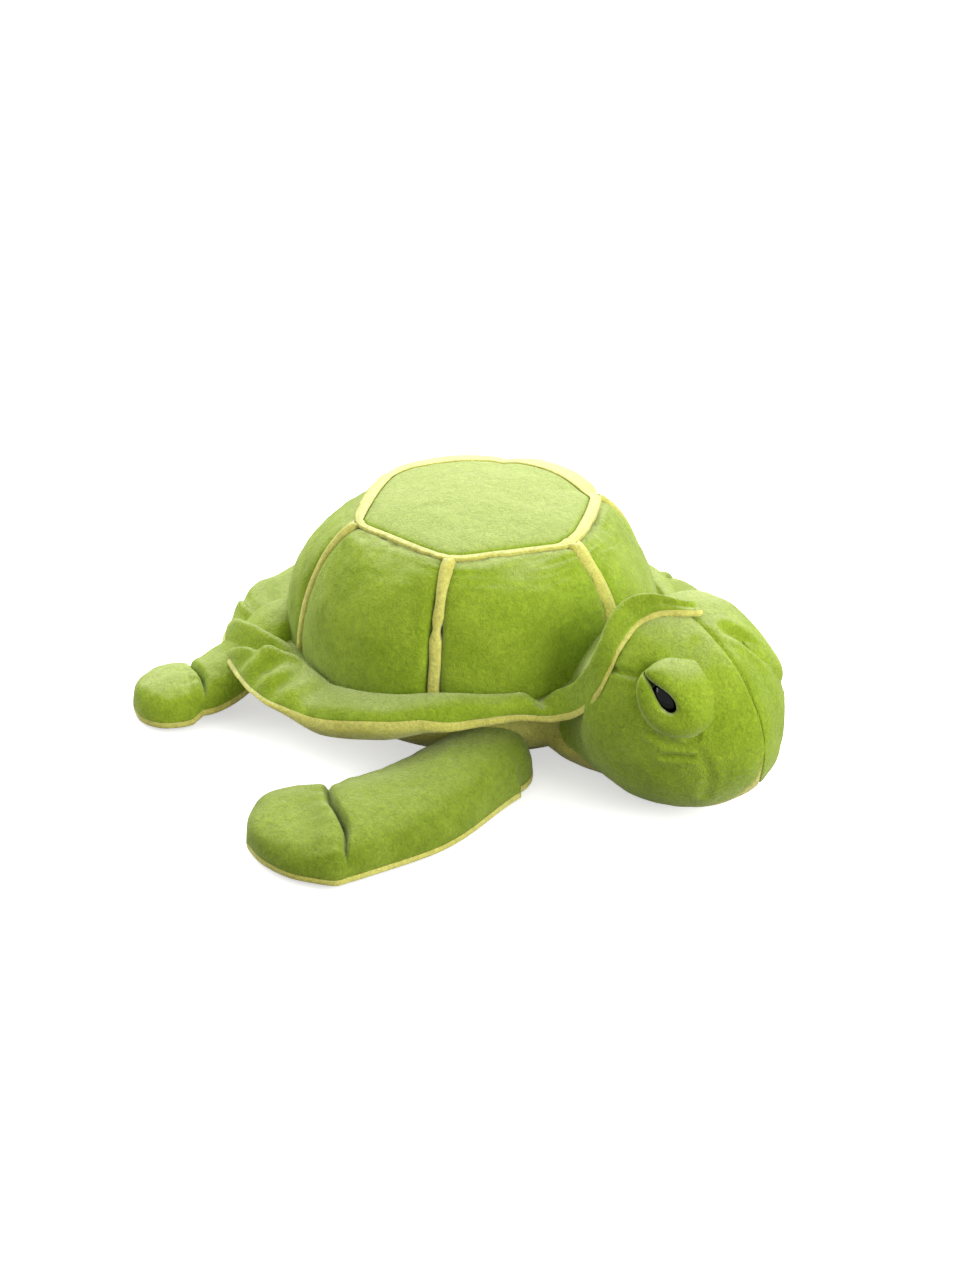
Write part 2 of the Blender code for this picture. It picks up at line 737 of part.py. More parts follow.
def make_eye(side, name, axis, panel, stuffing):
    """A dome eye with its shank, its washer behind the cloth and its padded lid."""
    point, normal = eye_seat(side)
    base = head_to_world(point)
    outward = (head_frame().to_3x3() @ normal).normalized()
    profile = [(0, -SHANK_LENGTH), (SHANK_RADIUS, -SHANK_LENGTH), (SHANK_RADIUS, GAP), (EYE_RADIUS, GAP)]
    for row in range(1, EYE_DOME_ROWS):
        turn = math.pi / 2 * row / EYE_DOME_ROWS
        profile.append((EYE_RADIUS * math.cos(turn), GAP + EYE_DOME_HEIGHT * math.sin(turn)))
    profile.append((0, GAP + EYE_DOME_HEIGHT))
    make_object(name + "_eye", turned_mesh(base, outward, profile, EYE_STEPS), LOOKS["black"], axis)

    bore = SHANK_RADIUS + SHANK_CLEARANCE
    far = WASHER_DEPTH + WASHER_THICKNESS
    section = [(bore, -WASHER_DEPTH), (WASHER_RADIUS, -WASHER_DEPTH), (WASHER_RADIUS, -far), (bore, -far)]
    along = outward
    sideways = along.orthogonal().normalized()
    other = along.cross(sideways)
    sections = []
    for i in range(EYE_STEPS):
        turn = 2 * math.pi * i / EYE_STEPS
        spoke = sideways * math.cos(turn) + other * math.sin(turn)
        sections.append([base + along * height + spoke * radius for radius, height in section])
    make_object(name + "_eye_washer", tube_mesh(sections), LOOKS["washer"], axis)

    pocket = WASHER_RADIUS + WASHER_CLEARANCE
    floor = far + WASHER_CLEARANCE
    end = SHANK_LENGTH + WASHER_CLEARANCE
    hole = [(0, -end), (bore, -end), (bore, OVERRUN), (0, OVERRUN)]
    seat = [(0, -end), (bore, -end), (bore, -floor), (pocket, -floor), (pocket, OVERRUN), (0, OVERRUN)]
    cut(panel, make_cutter(name + "_shank_hole", turned_mesh(base, outward, hole, EYE_STEPS)))
    cut(stuffing, make_cutter(name + "_washer_seat", turned_mesh(base, outward, seat, EYE_STEPS)))

    up = (Vector((0, 0, 1)) - normal * normal.z).normalized()
    level = up.cross(normal)

    def lid_rows(top):
        rows = []
        for share in LID_RING_SHARES:
            ring = []
            for i in range(LID_STEPS):
                turn = 2 * math.pi * i / LID_STEPS
                stretch = 1 + LID_SLIT_STRETCH * math.cos(turn) ** 2
                reach = lerp(LID_INNER_RADIUS * stretch, LID_OUTER_RADIUS, share)
                spot = point + level * (reach * math.cos(turn)) + up * (reach * math.sin(turn))
                spot = head_surface(spot)
                hood = 1 + LID_HOOD_SHARE * math.sin(turn)
                swell = math.sin(math.pi * lerp(LID_START_SHARE, 1.0, share))
                edge = LID_EDGE_HEIGHT * (1 - share)
                height = LID_HEM_HEIGHT + max(edge, LID_TOP_HEIGHT * hood * swell)
                spot = spot + head_normal(spot) * (GAP + (height if top else 0))
                ring.append(head_to_world(spot))
            rows.append(ring)
        return rows

    lid = sheet_mesh(lid_rows(True), lid_rows(False), True)
    make_object(name + "_eyelid", lid, LOOKS["green"], axis)


# Flippers
class Flipper:
    """A strap that starts round its shoulder, bends along its length and ends in a round tip."""

    def __init__(self, spec):
        self.spec = spec
        self.side = spec["side"]
        self.shoulder = Vector((spec["x"], self.side * spec["y"], 0))
        self.length = spec["arm"] + spec["tip"]
        self.spine = []
        place = self.shoulder.copy()
        for i in range(SPINE_STEPS + 1):
            self.spine.append(place.copy())
            heading = self.heading((i + 0.5) / SPINE_STEPS * self.length)
            place += heading * (self.length / SPINE_STEPS)

    def heading(self, along):
        """Unit direction of the strap, bending back from straight out."""
        start, end, turn = self.spec["bend"]
        back = self.spec["lean"] + turn * smooth((along - start) / (end - start))
        return Vector((-math.sin(back), self.side * math.cos(back), 0))

    def middle(self, along):
        share = min(1.0, max(0.0, along / self.length)) * SPINE_STEPS
        index = min(int(share), SPINE_STEPS - 1)
        return self.spine[index].lerp(self.spine[index + 1], share - index)

    def ahead(self, along):
        """Unit direction across the strap, towards its leading edge."""
        heading = self.heading(along)
        return Vector((heading.y * self.side, -heading.x * self.side, 0))

    def half_width(self, along):
        return lerp(self.spec["radius"], self.spec["width"], smooth(along / self.spec["arm"]))

    def crown(self, along):
        share = smooth(along / (self.spec["arm"] * SHOULDER_SWELL_SHARE))
        arm = lerp(self.spec["shoulder_height"], self.spec["arm_height"], share)
        beyond = smooth((along - self.spec["arm"]) / self.spec["tip"])
        return lerp(arm, self.spec["tip_height"], beyond) - FLIPPER_SEAM_HEIGHT

    def crease_ends(self):
        """Distances along the strap where the crease meets the leading and trailing edges."""
        offset = self.spec["width"] * math.tan(self.spec["slant"])
        return self.spec["arm"] + offset, self.spec["arm"] - offset

    def arm_outline(self):
        """Outline points, each with the spine distance it swells from and its share of crease."""
        lead_end, trail_end = self.crease_ends()
        last = self.spec["arm"] - self.spec["width"] * CREASE_PILLOW_SHARE
        lead, trail, normal = self.crease()
        step_back = -normal * (CREASE_CLEARANCE / 2)
        points = []
        for i in range(SIDE_STEPS):
            points.append((self.edge(lead_end * i / SIDE_STEPS, 1), last * i / SIDE_STEPS, 0))
        for i in range(CREASE_STEPS + 1):
            points.append((lead.lerp(trail, i / CREASE_STEPS) + step_back, last, 1))
        for i in range(SIDE_STEPS - 1, -1, -1):
            points.append((self.edge(trail_end * i / SIDE_STEPS, -1), last * i / SIDE_STEPS, 0))
        backward = -self.heading(0)
        across = self.ahead(0)
        for i in range(1, ROUND_STEPS):
            turn = math.pi * i / ROUND_STEPS
            spot = backward * math.sin(turn) - across * math.cos(turn)
            points.append((self.shoulder + spot * self.spec["radius"], 0, 0))
        return points

    def tip_outline(self):
        """A paddle beyond the crease, square to it and fuller on its trailing side."""
        lead, trail, normal = self.crease()
        step_out = normal * (CREASE_CLEARANCE / 2)
        start = self.spec["arm"] + self.spec["tip"] * CREASE_PILLOW_SHARE
        points = []
        for i in range(CREASE_STEPS + 1):
            points.append((trail.lerp(lead, i / CREASE_STEPS) + step_out, start, 1))
        middle = trail.lerp(lead, 0.5) + step_out
        half = (lead - trail) / 2
        outward = normal * self.spec["tip"]
        for i in range(1, TIP_STEPS):
            turn = math.pi * i / TIP_STEPS
            fuller = TIP_SWELL_SHARE * math.sin(turn) * smooth(turn / math.pi)
            spot = middle + half * (math.cos(turn) - fuller) + outward * math.sin(turn) ** TIP_ROUNDING_POWER
            points.append((spot, start, 0))
        return points

    def edge(self, along, side):
        return self.middle(along) + self.ahead(along) * (side * self.half_width(along))

    def crease(self):
        """Leading and trailing end of the crease, and its normal towards the tip."""
        lead_end, trail_end = self.crease_ends()
        lead = self.edge(lead_end, 1)
        trail = self.edge(trail_end, -1)
        line = (lead - trail).normalized()
        normal = Vector((-line.y, line.x, 0))
        return lead, trail, normal * math.copysign(1, normal.dot(self.heading(self.spec["arm"])))

    def crease_middle(self):
        lead, trail, _ = self.crease()
        middle = lead.lerp(trail, 0.5)
        return Vector((middle.x, middle.y, FLIPPER_SEAM_HEIGHT))

    def rows(self, outline, shares, side, depth):
        """Rings from the spine to the outline, above or below the side seam, at a depth in the cloth."""
        rows = []
        for share in shares:
            row = []
            for spot, along, crease in outline:
                place = self.middle(along).lerp(spot, share)
                full = self.crown(along) if side > 0 else FLIPPER_UNDER_DEPTH
                round_bulge = math.sqrt(1 - share ** FLIPPER_PROFILE_POWER)
                bulge = lerp(round_bulge, 1 - share * share, crease)
                lift = SEAM_EDGE + (full - SEAM_EDGE) * bulge
                if side < 0:
                    lift = min(lift, FLIPPER_SEAM_HEIGHT)
                lift = max(lift - depth, GAP / 2)
                row.append(Vector((place.x, place.y, FLIPPER_SEAM_HEIGHT + side * lift)))
            rows.append(row)
        return rows

    def pocket(self):
        """The space in the body's side that the shoulder swings in."""
        radius = self.spec["radius"] + SHOULDER_CLEARANCE
        headroom = self.spec["shoulder_height"] + POCKET_HEADROOM
        heading = self.heading(0)
        across = self.ahead(0)
        outline = []
        for i in range(POCKET_STEPS + 1):
            turn = math.pi * i / POCKET_STEPS
            spot = -heading * math.sin(turn) - across * math.cos(turn)
            outline.append(self.shoulder + spot * radius)
        outline.append(self.shoulder + (across + heading * 2) * radius)
        outline.append(self.shoulder - (across - heading * 2) * radius)
        bm = bmesh.new()
        low = [bm.verts.new((spot.x, spot.y, -OVERRUN)) for spot in outline]
        high = [bm.verts.new((spot.x, spot.y, headroom)) for spot in outline]
        bridge(bm, low, high, True)
        bm.faces.new(low)
        bm.faces.new(high)
        return bm


def make_flipper(name, spec):
    flipper = Flipper(spec)
    swing = make_axis(name + "_swing_axis", flipper.shoulder + Vector((0, 0, FLIPPER_SEAM_HEIGHT)))
    fold = make_axis(name + "_fold_axis", flipper.crease_middle(), swing)
    depth = SKIN + GAP
    for part, outline, axis in (("arm", flipper.arm_outline(), swing), ("tip", flipper.tip_outline(), fold)):
        for side, cover, look in ((1, "upper", "green"), (-1, "under", "yellow")):
            outer = flipper.rows(outline, FLIPPER_RING_SHARES, side, 0)
            inner = flipper.rows(outline, FLIPPER_RING_SHARES, side, SKIN)
            make_object(f"{name}_{part}_{cover}", pillow_mesh(outer, inner), LOOKS[look], axis)
        top = flipper.rows(outline, FLIPPER_CORE_SHARES, 1, depth)
        bottom = flipper.rows(outline, FLIPPER_CORE_SHARES, -1, depth)
        make_object(f"{name}_{part}_stuffing", pillow_mesh(top, bottom), LOOKS["filling"], axis)
    return make_cutter(name + "_pocket", flipper.pocket())


def front_spec(side, bend):
    return {
        "side": side, "x": FRONT_SHOULDER_X, "y": FRONT_SHOULDER_Y, "radius": FRONT_SHOULDER_RADIUS,
        "arm": FRONT_ARM_LENGTH, "tip": FRONT_TIP_LENGTH, "bend": bend, "lean": FRONT_HEADING_LEAN,
        "width": FRONT_HALF_WIDTH, "slant": FRONT_CREASE_SLANT,
        "shoulder_height": FRONT_SHOULDER_HEIGHT, "arm_height": FRONT_ARM_HEIGHT,
        "tip_height": FRONT_TIP_HEIGHT,
    }


def rear_spec(side):
    bend = (0, REAR_ARM_LENGTH, 0)
    return {
        "side": side, "x": REAR_SHOULDER_X, "y": REAR_SHOULDER_Y, "radius": REAR_SHOULDER_RADIUS,
        "arm": REAR_ARM_LENGTH, "tip": REAR_TIP_LENGTH, "bend": bend, "lean": REAR_HEADING_LEAN,
        "width": REAR_HALF_WIDTH, "slant": REAR_CREASE_SLANT,
        "shoulder_height": REAR_ARM_HEIGHT, "arm_height": REAR_ARM_HEIGHT, "tip_height": REAR_TIP_HEIGHT,
    }


def make_flippers():
    right_bend = (0, FRONT_ARM_LENGTH, 0)
    left_bend = (FRONT_ARM_LENGTH * LEFT_BEND_START_SHARE, FRONT_ARM_LENGTH, LEFT_ARM_BEND)
    return (
        make_flipper("front_right", front_spec(-1, right_bend)),
        make_flipper("front_left", front_spec(1, left_bend)),
        make_flipper("rear_right", rear_spec(-1)),
        make_flipper("rear_left", rear_spec(1)),
    )


for old in list(bpy.data.objects):
    bpy.data.objects.remove(old, do_unlink=True)

LOOKS = {
    "green": make_look("green plush", (0.30, 0.50, 0.06, 1), 0.95),
    "yellow": make_look("yellow plush", (0.72, 0.70, 0.26, 1), 0.95),
    "filling": make_look("white polyester fibre", (0.85, 0.85, 0.84, 1), 1.0),
    "black": make_look("black plastic", (0.01, 0.01, 0.01, 1), 0.12),
    "washer": make_look("white plastic", (0.8, 0.8, 0.8, 1), 0.4),
}

make_shell()
make_rim()
belly_panel, body_stuffing = make_body()

neck_place = Vector((NECK_X, 0, NECK_HEIGHT))
neck_axis = make_axis("neck_turn_axis", neck_place)
head_axis = make_axis("head_nod_axis", neck_place, neck_axis)
make_neck(neck_axis)
head_panels, head_stuffing = make_head(head_axis)
make_eye(1, "left", head_axis, head_panels[0], head_stuffing)
make_eye(-1, "right", head_axis, head_panels[1], head_stuffing)

socket_rows = 2 * NECK_ROWS
facet_share = math.cos(math.pi / NECK_STEPS) * math.cos(math.pi / (2 * socket_rows))
socket_radius = (NECK_RADIUS + NECK_CLEARANCE) / facet_share
socket = make_cutter("neck_socket", ball_mesh(neck_place, socket_radius, NECK_STEPS, socket_rows))
for part in head_panels + [head_stuffing, belly_panel, body_stuffing]:
    cut(part, socket)
for pocket in make_flippers():
    cut(belly_panel, pocket)
    cut(body_stuffing, pocket)
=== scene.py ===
"""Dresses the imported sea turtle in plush: panels, strips, rim, head, eyelids and flippers.

Metres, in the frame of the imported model: X forward, Y left, Z up, the origin on the floor.
"""

import functools
import math

import bmesh
import bpy
from mathutils import Matrix, Vector, noise


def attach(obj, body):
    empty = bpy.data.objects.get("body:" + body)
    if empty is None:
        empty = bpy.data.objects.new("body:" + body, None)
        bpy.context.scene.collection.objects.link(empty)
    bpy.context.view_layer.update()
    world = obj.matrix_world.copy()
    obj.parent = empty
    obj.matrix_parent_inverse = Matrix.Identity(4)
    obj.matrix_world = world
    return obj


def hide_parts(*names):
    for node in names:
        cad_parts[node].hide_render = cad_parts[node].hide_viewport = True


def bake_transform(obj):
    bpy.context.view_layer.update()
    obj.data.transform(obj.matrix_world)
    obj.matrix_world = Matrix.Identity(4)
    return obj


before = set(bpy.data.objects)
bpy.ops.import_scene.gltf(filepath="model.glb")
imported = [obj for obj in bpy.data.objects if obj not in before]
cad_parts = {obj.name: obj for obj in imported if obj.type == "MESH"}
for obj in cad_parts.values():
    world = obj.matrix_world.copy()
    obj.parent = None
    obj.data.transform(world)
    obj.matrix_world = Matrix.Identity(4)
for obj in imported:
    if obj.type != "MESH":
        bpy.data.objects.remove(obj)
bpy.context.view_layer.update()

MM = 0.001

# Cloth
CLOTH, THIN_CLOTH = 1.5 * MM, 1.2 * MM

# Shell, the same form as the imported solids
SIDES = 6
CORNER_RADIUS = 86 * MM
TOP_HEIGHT = 135 * MM
CROWN = 12 * MM
REACH_FRONT, REACH_SIDE, REACH_REAR = 130 * MM, 124 * MM, 138 * MM
FOOT_HEIGHT = 30 * MM
START_ANGLE = math.radians(20)
PUFF = 8.5 * MM
STRIP_WIDTH = 9 * MM
PANEL_EDGE = 0.022

# Neck: where it turns, and how far the head is turned to the right
NECK = Vector((118, 0, 51)) * MM
HEAD_YAW = math.radians(-12)

# Light: the world's strength, the floor's own glow near the part, and (name, place, size, watts) of the lamps
AMBIENT = 0.62
FLOOR_GLOW = 0.56
LAMPS = (("key", (-0.75, 0.95, 1.3), 1.6, 40), ("fill", (1.6, 0.1, 0.8), 1.2, 28),
         ("rear", (-1.5, -0.7, 0.8), 1.2, 16))

# Camera, fitted to the photo: its pixels, the focal length and the shift of the frame in them
PHOTO_HEIGHT, FOCAL_LENGTH, SHIFT_X, SHIFT_Y = 1280, 1741, 1, -31
CAMERA_AZIMUTH, CAMERA_ELEVATION, CAMERA_DISTANCE = math.radians(43.6), math.radians(25.7), 1.2
CAMERA_TARGET = Vector((0, 0, 0.06))


# Numbers
def lerp(a, b, share):
    return a + (b - a) * share


def clamp(share):
    return min(1.0, max(0.0, share))


def smooth(share):
    share = clamp(share)
    return share * share * (3 - 2 * share)


def hill(x, width):
    return math.exp(-(x / width) ** 2)


def turn_between(angle, centre):
    return (angle - centre + math.pi) % (2 * math.pi) - math.pi


def table(angle, stations):
    """Value on a smooth curve without overshoot through (angle, value) stations in rising order."""
    if angle <= stations[0][0]:
        return stations[0][1]
    if angle >= stations[-1][0]:
        return stations[-1][1]
    rises = [(vb - va) / (b - a) for (a, va), (b, vb) in zip(stations, stations[1:])]
    slopes = [0.0] + [2 * p * q / (p + q) if p * q > 0 else 0.0 for p, q in zip(rises, rises[1:])] + [0.0]
    index = max(i for i, station in enumerate(stations) if station[0] <= angle)
    (a, va), (b, vb) = stations[index], stations[index + 1]
    t = (angle - a) / (b - a)
    t2, t3 = t * t, t * t * t
    return ((2 * t3 - 3 * t2 + 1) * va + (t3 - 2 * t2 + t) * (b - a) * slopes[index]
            + (3 * t2 - 2 * t3) * vb + (t3 - t2) * (b - a) * slopes[index + 1])


def polar(radius, angle, height):
    return Vector((radius * math.cos(angle), radius * math.sin(angle), height))


def ripple(point, size, seed=0.0):
    """Soft noise from -1 to 1 with features of a size."""
    return noise.noise(point / size + Vector((seed, seed * 0.7, seed * 1.3)))


def nap(point, amount=1.0):
    """Height of soft unevenness in stuffed plush."""
    return amount * (1.1 * ripple(point, 26 * MM) + 0.45 * ripple(point, 9 * MM, 5.1)) * MM


def near_line(point, line):
    """Distance from a point to a line of points."""
    best = 1.0
    for a, b in zip(line, line[1:]):
        along = b - a
        share = clamp((point - a).dot(along) / along.length_squared)
        best = min(best, (point - a - along * share).length)
    return best


# Meshes
def sheet_object(name, rows, look, closed=False):
    """A smooth sheet of points. With closed, each row is a ring; a row of one point is a pole."""
    bm = bmesh.new()
    rings = [[bm.verts.new(p) for p in row] for row in rows]
    for above, below in zip(rings, rings[1:]):
        count = max(len(above), len(below))
        for i in range(count if closed else count - 1):
            j = (i + 1) % count
            if len(above) == 1:
                bm.faces.new((above[0], below[j], below[i]))
            elif len(below) == 1:
                bm.faces.new((above[i], above[j], below[0]))
            else:
                bm.faces.new((above[i], above[j], below[j], below[i]))
    bmesh.ops.recalc_face_normals(bm, faces=bm.faces)
    mesh = bpy.data.meshes.new(name)
    bm.to_mesh(mesh)
    bm.free()
    mesh.shade_smooth()
    piece = bpy.data.objects.new(name, mesh)
    bpy.context.collection.objects.link(piece)
    mesh.materials.append(look)
    return piece


def thicken(piece, thickness):
    """Gives an open sheet its cloth thickness, inwards."""
    cloth = piece.modifiers.new("cloth", "SOLIDIFY")
    cloth.thickness = thickness
    cloth.offset = -1
    return piece


def settle(piece, body, nodes):
    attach(piece, body)
    if nodes:
        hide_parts(*nodes)
    return piece


# Materials
def plush(name, colour, deep, painted_top_light, bright, sheen):
    """Short-pile plush with painted top light: a lighter, less saturated colour where it faces up, with nap
    patches, fine pile bump and a soft sheen.
    """
    look = bpy.data.materials.new(name)
    look.use_nodes = True
    tree = look.node_tree
    nodes, links = tree.nodes, tree.links
    shader = nodes["Principled BSDF"]
    shader.inputs["Roughness"].default_value = 0.95
    shader.inputs["Specular IOR Level"].default_value = 0.15
    shader.inputs["Sheen Weight"].default_value = sheen
    shader.inputs["Sheen Roughness"].default_value = 0.4
    shader.inputs["Sheen Tint"].default_value = bright
    place = nodes.new("ShaderNodeTexCoord")

    def noise_node(size, detail, rough=0.5, distortion=0.0):
        node = nodes.new("ShaderNodeTexNoise")
        node.inputs["Scale"].default_value = 1 / size
        node.inputs["Detail"].default_value = detail
        node.inputs["Roughness"].default_value = rough
        node.inputs["Distortion"].default_value = distortion
        links.new(place.outputs["Object"], node.inputs["Vector"])
        return node

    def band(source, low, high, to_low, to_high):
        node = nodes.new("ShaderNodeMapRange")
        node.inputs["From Min"].default_value = low
        node.inputs["From Max"].default_value = high
        node.inputs["To Min"].default_value = to_low
        node.inputs["To Max"].default_value = to_high
        links.new(source.outputs["Fac"], node.inputs["Value"])
        return node

    patches = noise_node(34 * MM, 4, 0.6, 0.8)
    strands = noise_node(3.4 * MM, 3, 0.7, 1.2)
    fibre = noise_node(1.3 * MM, 2, 0.6)
    mix_patch = nodes.new("ShaderNodeMix")
    mix_patch.data_type = "RGBA"
    mix_patch.inputs["A"].default_value = deep
    mix_patch.inputs["B"].default_value = colour
    shade = band(patches, 0.30, 0.66, 0.0, 1.0)
    links.new(shade.outputs["Result"], mix_patch.inputs["Factor"])
    # Painted light: where the normal points up, the colour turns to the painted top light. It stands in for
    # light from above and for sheen seen at grazing angles.
    facing = nodes.new("ShaderNodeNewGeometry")
    upward = nodes.new("ShaderNodeSeparateXYZ")
    rise = nodes.new("ShaderNodeMapRange")
    rise.interpolation_type = "SMOOTHSTEP"
    rise.inputs["From Min"].default_value = 0.74
    rise.inputs["From Max"].default_value = 1.0
    mix_painted_top_light = nodes.new("ShaderNodeMix")
    mix_painted_top_light.data_type = "RGBA"
    mix_painted_top_light.inputs["B"].default_value = painted_top_light
    links.new(facing.outputs["Normal"], upward.inputs["Vector"])
    links.new(upward.outputs["Z"], rise.inputs["Value"])
    links.new(rise.outputs["Result"], mix_painted_top_light.inputs["Factor"])
    links.new(mix_patch.outputs["Result"], mix_painted_top_light.inputs["A"])
    mix_pile = nodes.new("ShaderNodeMix")
    mix_pile.data_type = "RGBA"
    mix_pile.blend_type = "MULTIPLY"
    mix_pile.inputs["Factor"].default_value = 1.0
    grey = nodes.new("ShaderNodeCombineColor")
    pile = band(strands, 0.3, 0.7, 0.76, 1.16)
    for channel in ("Red", "Green", "Blue"):
        links.new(pile.outputs["Result"], grey.inputs[channel])
    links.new(mix_painted_top_light.outputs["Result"], mix_pile.inputs["A"])
    links.new(grey.outputs["Color"], mix_pile.inputs["B"])
    links.new(mix_pile.outputs["Result"], shader.inputs["Base Color"])

    last = None
    for source, distance in ((patches, 1.4 * MM), (strands, 1.9 * MM), (fibre, 0.9 * MM)):
        bump = nodes.new("ShaderNodeBump")
        bump.inputs["Strength"].default_value = 0.55
        bump.inputs["Distance"].default_value = distance
        links.new(source.outputs["Fac"], bump.inputs["Height"])
        if last is not None:
            links.new(last.outputs["Normal"], bump.inputs["Normal"])
        last = bump
    links.new(last.outputs["Normal"], shader.inputs["Normal"])
    return look


def plain(name, colour, roughness):
    """Smooth plastic of one colour."""
    look = bpy.data.materials.new(name)
    look.use_nodes = True
    shader = look.node_tree.nodes["Principled BSDF"]
    shader.inputs["Base Color"].default_value = colour
    shader.inputs["Roughness"].default_value = roughness
    shader.inputs["Specular IOR Level"].default_value = 0.35
    return look


# The third colour of each plush is painted top light, mixed in where the cloth faces up.
GREEN = plush("green plush", (0.29, 0.405, 0.028, 1), (0.205, 0.305, 0.012, 1), (0.34, 0.42, 0.11, 1),
              (0.95, 1.0, 0.6, 1), 0.5)
# Painted shade: a darker copy of the green plush, used on both front flippers in place of the shade they lie in.
SHADED = plush("green plush, painted shade", (0.22, 0.30, 0.028, 1), (0.155, 0.225, 0.012, 1),
               (0.235, 0.315, 0.04, 1), (0.95, 1.0, 0.6, 1), 0.5)
YELLOW = plush("yellow plush", (0.64, 0.62, 0.16, 1), (0.54, 0.50, 0.10, 1), (0.64, 0.65, 0.25, 1),
               (1.0, 1.0, 0.8, 1), 0.45)
BLACK = plain("black eye plastic", (0.002, 0.002, 0.003, 1), 0.14)
WASHER = plain("washer plastic", (0.8, 0.8, 0.8, 1), 0.4)


# Shell surface: the rim's seam on it as (degrees round the shell, height in mm)
RIM_SEAM = ((-180, 38), (-150, 38), (-120, 42), (-92, 38), (-72, 47), (-55, 55), (-38, 57), (-29, 58), (-22, 60),
            (-16, 65), (-9, 74), (0, 82), (7, 81), (14, 71), (22, 56), (32, 46), (55, 44), (72, 43), (92, 38),
            (120, 42), (150, 38), (180, 38))


def side_share(theta):
    width = 2 * math.pi / SIDES
    return (theta % width) / width


def hexagon_radius(theta):
    half = math.pi / SIDES
    offset = (side_share(theta) * 2 - 1) * half
    return CORNER_RADIUS * math.cos(half) / math.cos(offset)


def foot_radius(theta):
    reach = REACH_FRONT if math.cos(theta) > 0 else REACH_REAR
    return 1 / math.sqrt((math.cos(theta) / reach) ** 2 + (math.sin(theta) / REACH_SIDE) ** 2)


def dome_point(theta, drop, puff):
    fall = lerp(START_ANGLE, math.pi / 2, drop)
    start = math.sin(START_ANGLE)
    spread = (math.sin(fall) - start) / (1 - start)
    across = side_share(theta)
    swell = puff * (4 * across * (1 - across)) ** 0.7 * math.sin(math.pi * clamp(drop + 0.04)) ** 0.8
    radius = lerp(hexagon_radius(theta), foot_radius(theta), spread) + swell
    height = FOOT_HEIGHT + (TOP_HEIGHT - FOOT_HEIGHT) * math.cos(fall) / math.cos(START_ANGLE)
    return polar(radius, theta, height)


def dome_normal(theta, drop, puff):
    step = 0.002
    ahead = dome_point(theta + step, drop, puff) - dome_point(theta - step, drop, puff)
    down = dome_point(theta, drop + step, puff) - dome_point(theta, drop - step, puff)
    return down.cross(ahead).normalized()


def rim_height(theta):
    """Height of the rim's seam on the body: arched over the neck, lowest at the rear, raised on the left."""
    degrees = math.degrees(turn_between(theta, 0))
    return (table(degrees, RIM_SEAM) + 13 * hill(degrees - 90, 38)) * MM


def drop_at(height):
    share = clamp((height - FOOT_HEIGHT) / (TOP_HEIGHT - FOOT_HEIGHT))
    fall = math.acos(share * math.cos(START_ANGLE))
    return (fall - START_ANGLE) / (math.pi / 2 - START_ANGLE)


def corner(index):
    return 2 * math.pi * index / SIDES


def make_shell():
    names = ("front_left", "left", "rear_left", "rear_right", "right", "front_right")
    rows, columns = 46, 46
    for index, name in enumerate(names):
        points = []
        for row in range(rows + 1):
            line = []
            for column in range(columns + 1):
                share = column / columns
                theta = lerp(corner(index), corner(index + 1), lerp(PANEL_EDGE, 1 - PANEL_EDGE, share))
                low = drop_at(rim_height(theta) - 4 * MM)
                drop = lerp(0.0, low, row / rows)
                spot = dome_point(theta, drop, PUFF)
                outward = dome_normal(theta, drop, PUFF)
                edge = min(share, 1 - share) * 110
                top = row / rows * 90
                tuck = 3.2 * math.exp(-edge / 2.6) + 3.0 * math.exp(-top / 3.0)
                folds = 0.7 * ripple(Vector((theta * 60, drop * 9, index)), 3.0) * math.exp(-top / 26)
                folds += 1.7 * ripple(Vector((share * 2.6, top / 2.8, index)), 1.0) * math.exp(-top / 20)
                folds += 0.6 * ripple(Vector((share * 40, top / 20, index)), 1.0) * math.exp(-edge / 9)
                slim = 6.2 * hill(math.degrees(turn_between(theta, 0)) - 32, 24) * smooth(drop * 2)
                behind = math.degrees(turn_between(theta, math.pi))
                slim += 2.4 * hill(behind, 26) * math.sin(math.pi * drop)
                spot += outward * (nap(spot, 1.1) + (folds - tuck - slim) * MM)
                line.append(spot)
            points.append(line)
        piece = sheet_object("plush_panel_" + name, points, GREEN)
        settle(thicken(piece, CLOTH), "body", ["shell_panel_" + name])

    names = ("front", "left_front", "left_rear", "rear", "right_rear", "right_front")
    rows, columns = 70, 8
    for index, name in enumerate(names):
        points = []
        for row in range(rows + 1):
            line = []
            for column in range(columns + 1):
                across = column / columns * 2 - 1
                drop_share = row / rows
                wobble = ripple(Vector((drop_share * 5, index * 7.3, 0)), 1.0) * 1.6 * MM
                width = STRIP_WIDTH * (0.98 + 0.26 * ripple(Vector((drop_share * 4, 3.1, index)), 1.0))
                if index == 0:
                    width *= 1.45
                if index == 5:
                    width *= 1 - 0.42 * hill(drop_share - 0.55, 0.05)
                drop = lerp(-0.015, drop_at(rim_height(corner(index)) - 4 * MM), drop_share)
                drop = max(drop, 0.0)
                radius = dome_point(corner(index), drop, 0).xy.length
                theta = corner(index) + (across * width / 2 + wobble) / radius
                spot = dome_point(theta, drop, 0)
                lift = 1.6 * (1 - across ** 4) - 1.4 * abs(across) ** 6 - 1.6 * math.exp(-drop_share / 0.03)
                spot += dome_normal(corner(index), max(drop, 0.01), 0) * (lift * MM + nap(spot, 0.3))
                line.append(spot)
            points.append(line)
        piece = sheet_object("plush_strip_" + name, points, YELLOW)
        settle(thicken(piece, CLOTH), "body", ["shell_strip_" + name])


